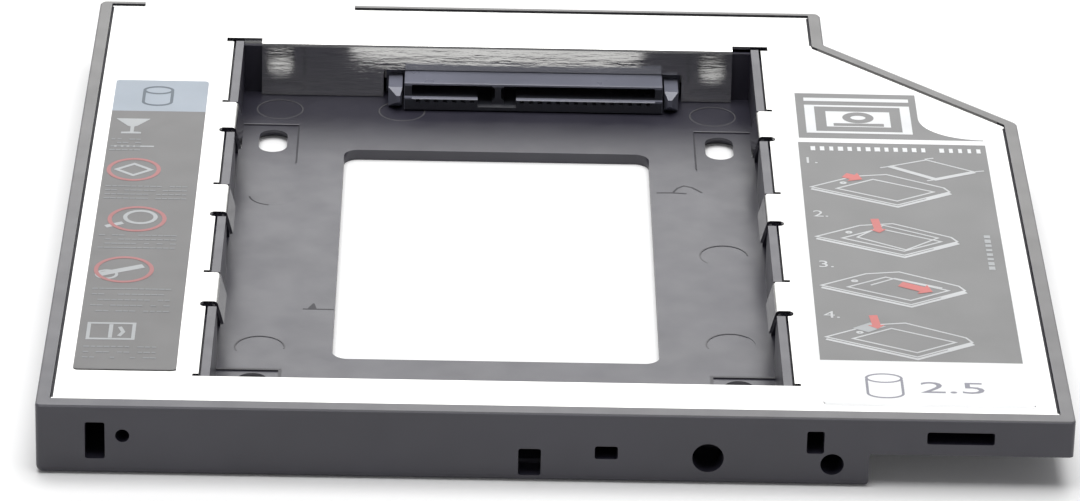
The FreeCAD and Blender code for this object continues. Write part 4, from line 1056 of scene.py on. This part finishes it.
class FRAME_OT_floor_marks(Operator):
    """Painted highlights round the ejector marks and on the pads' edges, and the gate scars
    darkened with painted shade
    """

    bl_idname = "mounting_frame.floor_marks"
    bl_label = "Floor marks"

    def execute(self, context):
        _, finish, _ = settings()
        floor = finish.bay_floor
        # Painted shade: the gate scars, the pads' inner edges and an arc of one ejector ring
        # are darker plastic in place of the shade in their grooves
        marks = Print(floor - 0.02 * MM, floor + 0.01 * MM)
        marks.line([(-32.5, -19.0), (-28.45, -19.05)], 0.28)
        marks.field([(-31.9, -18.9), (-31.2, -17.3), (-31.0, -17.4), (-30.7, -18.9)])
        marks.line([(14.6, 18.6), (16.6, 18.7), (18.7, 18.5)], 0.32)
        marks.line([(16.9, 18.9), (17.5, 20.2), (18.4, 21.0), (19.5, 20.5), (20.8, 18.9)], 0.3)
        marks.line(arc(*SHADED_EJECTOR, EJECTOR_RADIUS, EJECTOR_RADIUS, 190, 262, 12), 0.22)
        for _, inner in PAD_SPANS:
            marks.line([(inner, REAR_PAD_EDGE - 0.5), (inner, REAR_PAD_EDGE - 12.6)], 0.24)

        # Painted highlights: thin rings of lighter plastic round the ejector marks
        rims = Print(floor - 0.06 * MM, floor + 0.008 * MM)
        for x, y, start, end in RIM_ARCS:
            whole = end - start == 360
            if whole:
                points = ring_points(x, y, EJECTOR_RADIUS, EJECTOR_RADIUS)
            else:
                points = arc(x, y, EJECTOR_RADIUS, EJECTOR_RADIUS, start, end, 28)
            rims.line(points, 0.2, closed=whole)

        # Painted highlights: lighter lips along the pads' rear and front edges
        rear_lips = Print(floor - 0.1 * MM, floor + 0.02 * MM)
        front_lips = Print(floor - 0.1 * MM, floor + 0.015 * MM)
        for outer, inner in PAD_SPANS:
            rear_lips.line([(outer, REAR_PAD_EDGE), (inner, REAR_PAD_EDGE)], 0.2)
            corner = [(outer, FRONT_PAD_EDGE), (inner, FRONT_PAD_EDGE)]
            front_lips.line(corner + [(inner, FRONT_PAD_EDGE - 9.0)], 0.42)

        plug = Print(floor - 0.04 * MM, floor + 0.003 * MM)
        radius = EJECTOR_RADIUS - 0.005
        plug.field(ring_points(*SHADED_EJECTOR, radius, radius, 64))

        # Darker plastic of painted shade for the scars and lines; lighter plastic of painted
        # highlights for the rims and lips
        scar_shade = painted_light_plastic("scar plastic", finish.tray_colour, 0.5, 0.6)
        painted_light = painted_light_plastic("worn edge", finish.edge_highlight_colour, 1, 0.55)
        faint = painted_light_plastic("faint edge", finish.edge_highlight_colour, 0.42, 0.55)
        dull = painted_light_plastic("dull edge", finish.edge_highlight_colour, 0.45, 0.6)
        pieces = (
            ("mould_scars", marks, scar_shade),
            ("ejector_rims", rims, faint),
            ("rear_pad_lips", rear_lips, painted_light),
            ("front_pad_lips", front_lips, dull),
            ("ejector_plug", plug, tray_plastic("plug plastic")),
        )
        for name, ink, material in pieces:
            add_piece(name, ink.mesh(name), material)
        return {"FINISHED"}


class FRAME_OT_seams(Operator):
    """Painted shadow strips in the gaps between sheet and rim, and the sloping foot of the
    slanted rim in the rim's highlight colour
    """

    bl_idname = "mounting_frame.seams"
    bl_label = "Seams"

    def execute(self, context):
        _, finish, _ = settings()
        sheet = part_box("cover_plate")[1].z
        # Painted shadow: near-black strips lie over the gaps
        dark = painted_light_plastic("seam shade", finish.tray_colour, 0.35, 0.8)
        seams = Print(sheet, sheet + 0.004 * MM)
        for points in SEAM_LINES:
            seams.line(points, SEAM_WIDTH)
        add_piece("rim_seams", seams.mesh("seams"), dark)

        near, far = SLANT_SPAN
        low, high = (sheet + rise * MM for rise in SLANT_RISE)
        ends = [
            [
                ((x + SLANT_INWARD[0] * inward) * MM, (y + SLANT_INWARD[1] * inward) * MM, z)
                for inward, z in ((near, low), (near, high), (far, low))
            ]
            for x, y in SLANT_FOOT
        ]
        # Painted highlight: the foot takes the rim's highlight colour, lighter than the tray
        shade = painted_light_plastic("slanted foot", finish.rim_highlight_colour, 1, 0.6)
        add_piece("slanted_rim_foot", bar_between(ends, "foot"), shade)
        return {"FINISHED"}


class FRAME_OT_stage(Operator):
    """Floor, light, world and camera"""

    bl_idname = "mounting_frame.stage"
    bl_label = "Stage"

    def execute(self, context):
        stage, _, _ = settings()
        scene = context.scene
        scene.view_settings.view_transform = "Standard"
        self.floor(scene, stage)
        self.card(scene, stage)
        for name, place, size, level in LAMPS:
            self.softbox(scene, name, place, size, getattr(stage, level))
        self.world(scene, stage)
        self.camera(scene, stage)
        return {"FINISHED"}

    def seen(self, tree):
        """1 for the rays of the camera, of glossy surfaces and of glass."""
        path = add_node(tree, "ShaderNodeLightPath").outputs
        total = path["Is Camera Ray"]
        for name in ("Is Glossy Ray", "Is Transmission Ray"):
            feeds = {0: total, 1: path[name]}
            total = add_node(tree, "ShaderNodeMath", feeds, operation="MAXIMUM").outputs[0]
        return total

    def plane(self, scene, name, corners, recipe):
        """Adds one four-sided plane of the stage."""
        mesh = bpy.data.meshes.new(name)
        mesh.from_pydata(corners, [], [(0, 1, 2, 3)])
        mesh.materials.append(recipe.material)
        plane = bpy.data.objects.new(name, mesh)
        scene.collection.objects.link(plane)

    def floor(self, scene, stage):
        recipe = Recipe("floor card")
        glow = recipe.maths("MULTIPLY", self.seen(recipe.tree), stage.floor_glow)
        recipe.set(
            Base_Color=recipe.shades(recipe.noise(0.05, 3), stage.floor_colour, 0.004),
            Roughness=0.9,
            Emission_Color=(1, 1, 1, 1),
            Emission_Strength=glow,
        )
        low = CAD_BOX[0].z - stage.floor_gap
        outline = rectangle(-FLOOR_HALF, -FLOOR_HALF, FLOOR_HALF, FLOOR_HALF)
        self.plane(scene, "floor", [(x, y, low) for x, y in outline], recipe)

    def card(self, scene, stage):
        """Upright card behind the camera, which keeps the front side of the room dim."""
        recipe = Recipe("grey card")
        recipe.set(
            Base_Color=recipe.shades(recipe.noise(0.05, 3), stage.card_colour, 0.01),
            Roughness=0.9,
        )
        low = CAD_BOX[0].z - stage.floor_gap
        outline = rectangle(-CARD_HALF, low, CARD_HALF, CARD_HEIGHT)[::-1]
        self.plane(scene, "front card", [(x, CARD_PLACE, z) for x, z in outline], recipe)

    def softbox(self, scene, name, place, size, level):
        """Even rectangular lamp that faces the frame."""
        lamp = bpy.data.lights.new(name, "AREA")
        lamp.shape = "RECTANGLE"
        lamp.size, lamp.size_y = size
        lamp.energy = level * math.pi * size[0] * size[1]
        box = bpy.data.objects.new(name, lamp)
        scene.collection.objects.link(box)
        box.location = place
        box.rotation_euler = (-Vector(place)).to_track_quat("-Z", "Y").to_euler()

    def world(self, scene, stage):
        world = bpy.data.worlds.new("room")
        world.use_nodes = True
        scene.world = world
        tree = world.node_tree
        tree.nodes.clear()
        feeds = {0: self.seen(tree)}
        for socket, level in ((1, stage.room_level), (2, 1.0)):
            shade = {"Color": (1, 1, 1, 1), "Strength": level}
            feeds[socket] = add_node(tree, "ShaderNodeBackground", shade).outputs[0]
        mix = add_node(tree, "ShaderNodeMixShader", feeds).outputs[0]
        add_node(tree, "ShaderNodeOutputWorld", {"Surface": mix})

    def camera(self, scene, stage):
        lens = bpy.data.cameras.new("camera")
        lens.sensor_fit = "HORIZONTAL"
        lens.sensor_width = 36.0
        lens.lens = stage.focal_length
        lens.dof.use_dof = False
        lens.clip_start = 0.01
        camera = bpy.data.objects.new("camera", lens)
        scene.collection.objects.link(camera)
        yaw, pitch, roll = stage.camera_yaw, stage.camera_pitch, stage.camera_roll
        level = Vector((-math.sin(yaw), math.cos(yaw), 0))
        right = Vector((math.cos(yaw), math.sin(yaw), 0))
        ahead = math.cos(pitch) * level - math.sin(pitch) * Vector((0, 0, 1))
        up = math.sin(pitch) * level + math.cos(pitch) * Vector((0, 0, 1))
        side = math.cos(roll) * right - math.sin(roll) * up
        top = math.sin(roll) * right + math.cos(roll) * up
        turn = Matrix((side, top, -ahead)).transposed().to_4x4()
        camera.matrix_world = Matrix.Translation(stage.camera_place) @ turn
        scene.camera = camera


MAKERS = (
    FRAME_OT_tray,
    FRAME_OT_sheet,
    FRAME_OT_connectors,
    FRAME_OT_board,
    FRAME_OT_left_print,
    FRAME_OT_right_print,
    FRAME_OT_floor_marks,
    FRAME_OT_seams,
    FRAME_OT_stage,
)


class FRAME_PT_panel(Panel):
    """Settings and steps of the mounting frame"""

    bl_idname = "FRAME_PT_panel"
    bl_label = "Mounting Frame"
    bl_space_type = "VIEW_3D"
    bl_region_type = "UI"
    bl_category = "Mounting Frame"

    def draw(self, context):
        for group in settings():
            box = self.layout.box()
            for name in group.__annotations__:
                box.prop(group, name)
        for maker in MAKERS:
            self.layout.operator(maker.bl_idname)


CLASSES = (StageSettings, FinishSettings, PrintSettings) + MAKERS + (FRAME_PT_panel,)


def register():
    for item in CLASSES:
        bpy.utils.register_class(item)
    bpy.types.Scene.frame_stage = PointerProperty(type=StageSettings)
    bpy.types.Scene.frame_finish = PointerProperty(type=FinishSettings)
    bpy.types.Scene.frame_print = PointerProperty(type=PrintSettings)


def unregister():
    del bpy.types.Scene.frame_print
    del bpy.types.Scene.frame_finish
    del bpy.types.Scene.frame_stage
    for item in reversed(CLASSES):
        bpy.utils.unregister_class(item)


def main():
    register()
    for maker in MAKERS:
        group, name = maker.bl_idname.split(".")
        getattr(getattr(bpy.ops, group), name)()


if __name__ == "__main__":
    main()
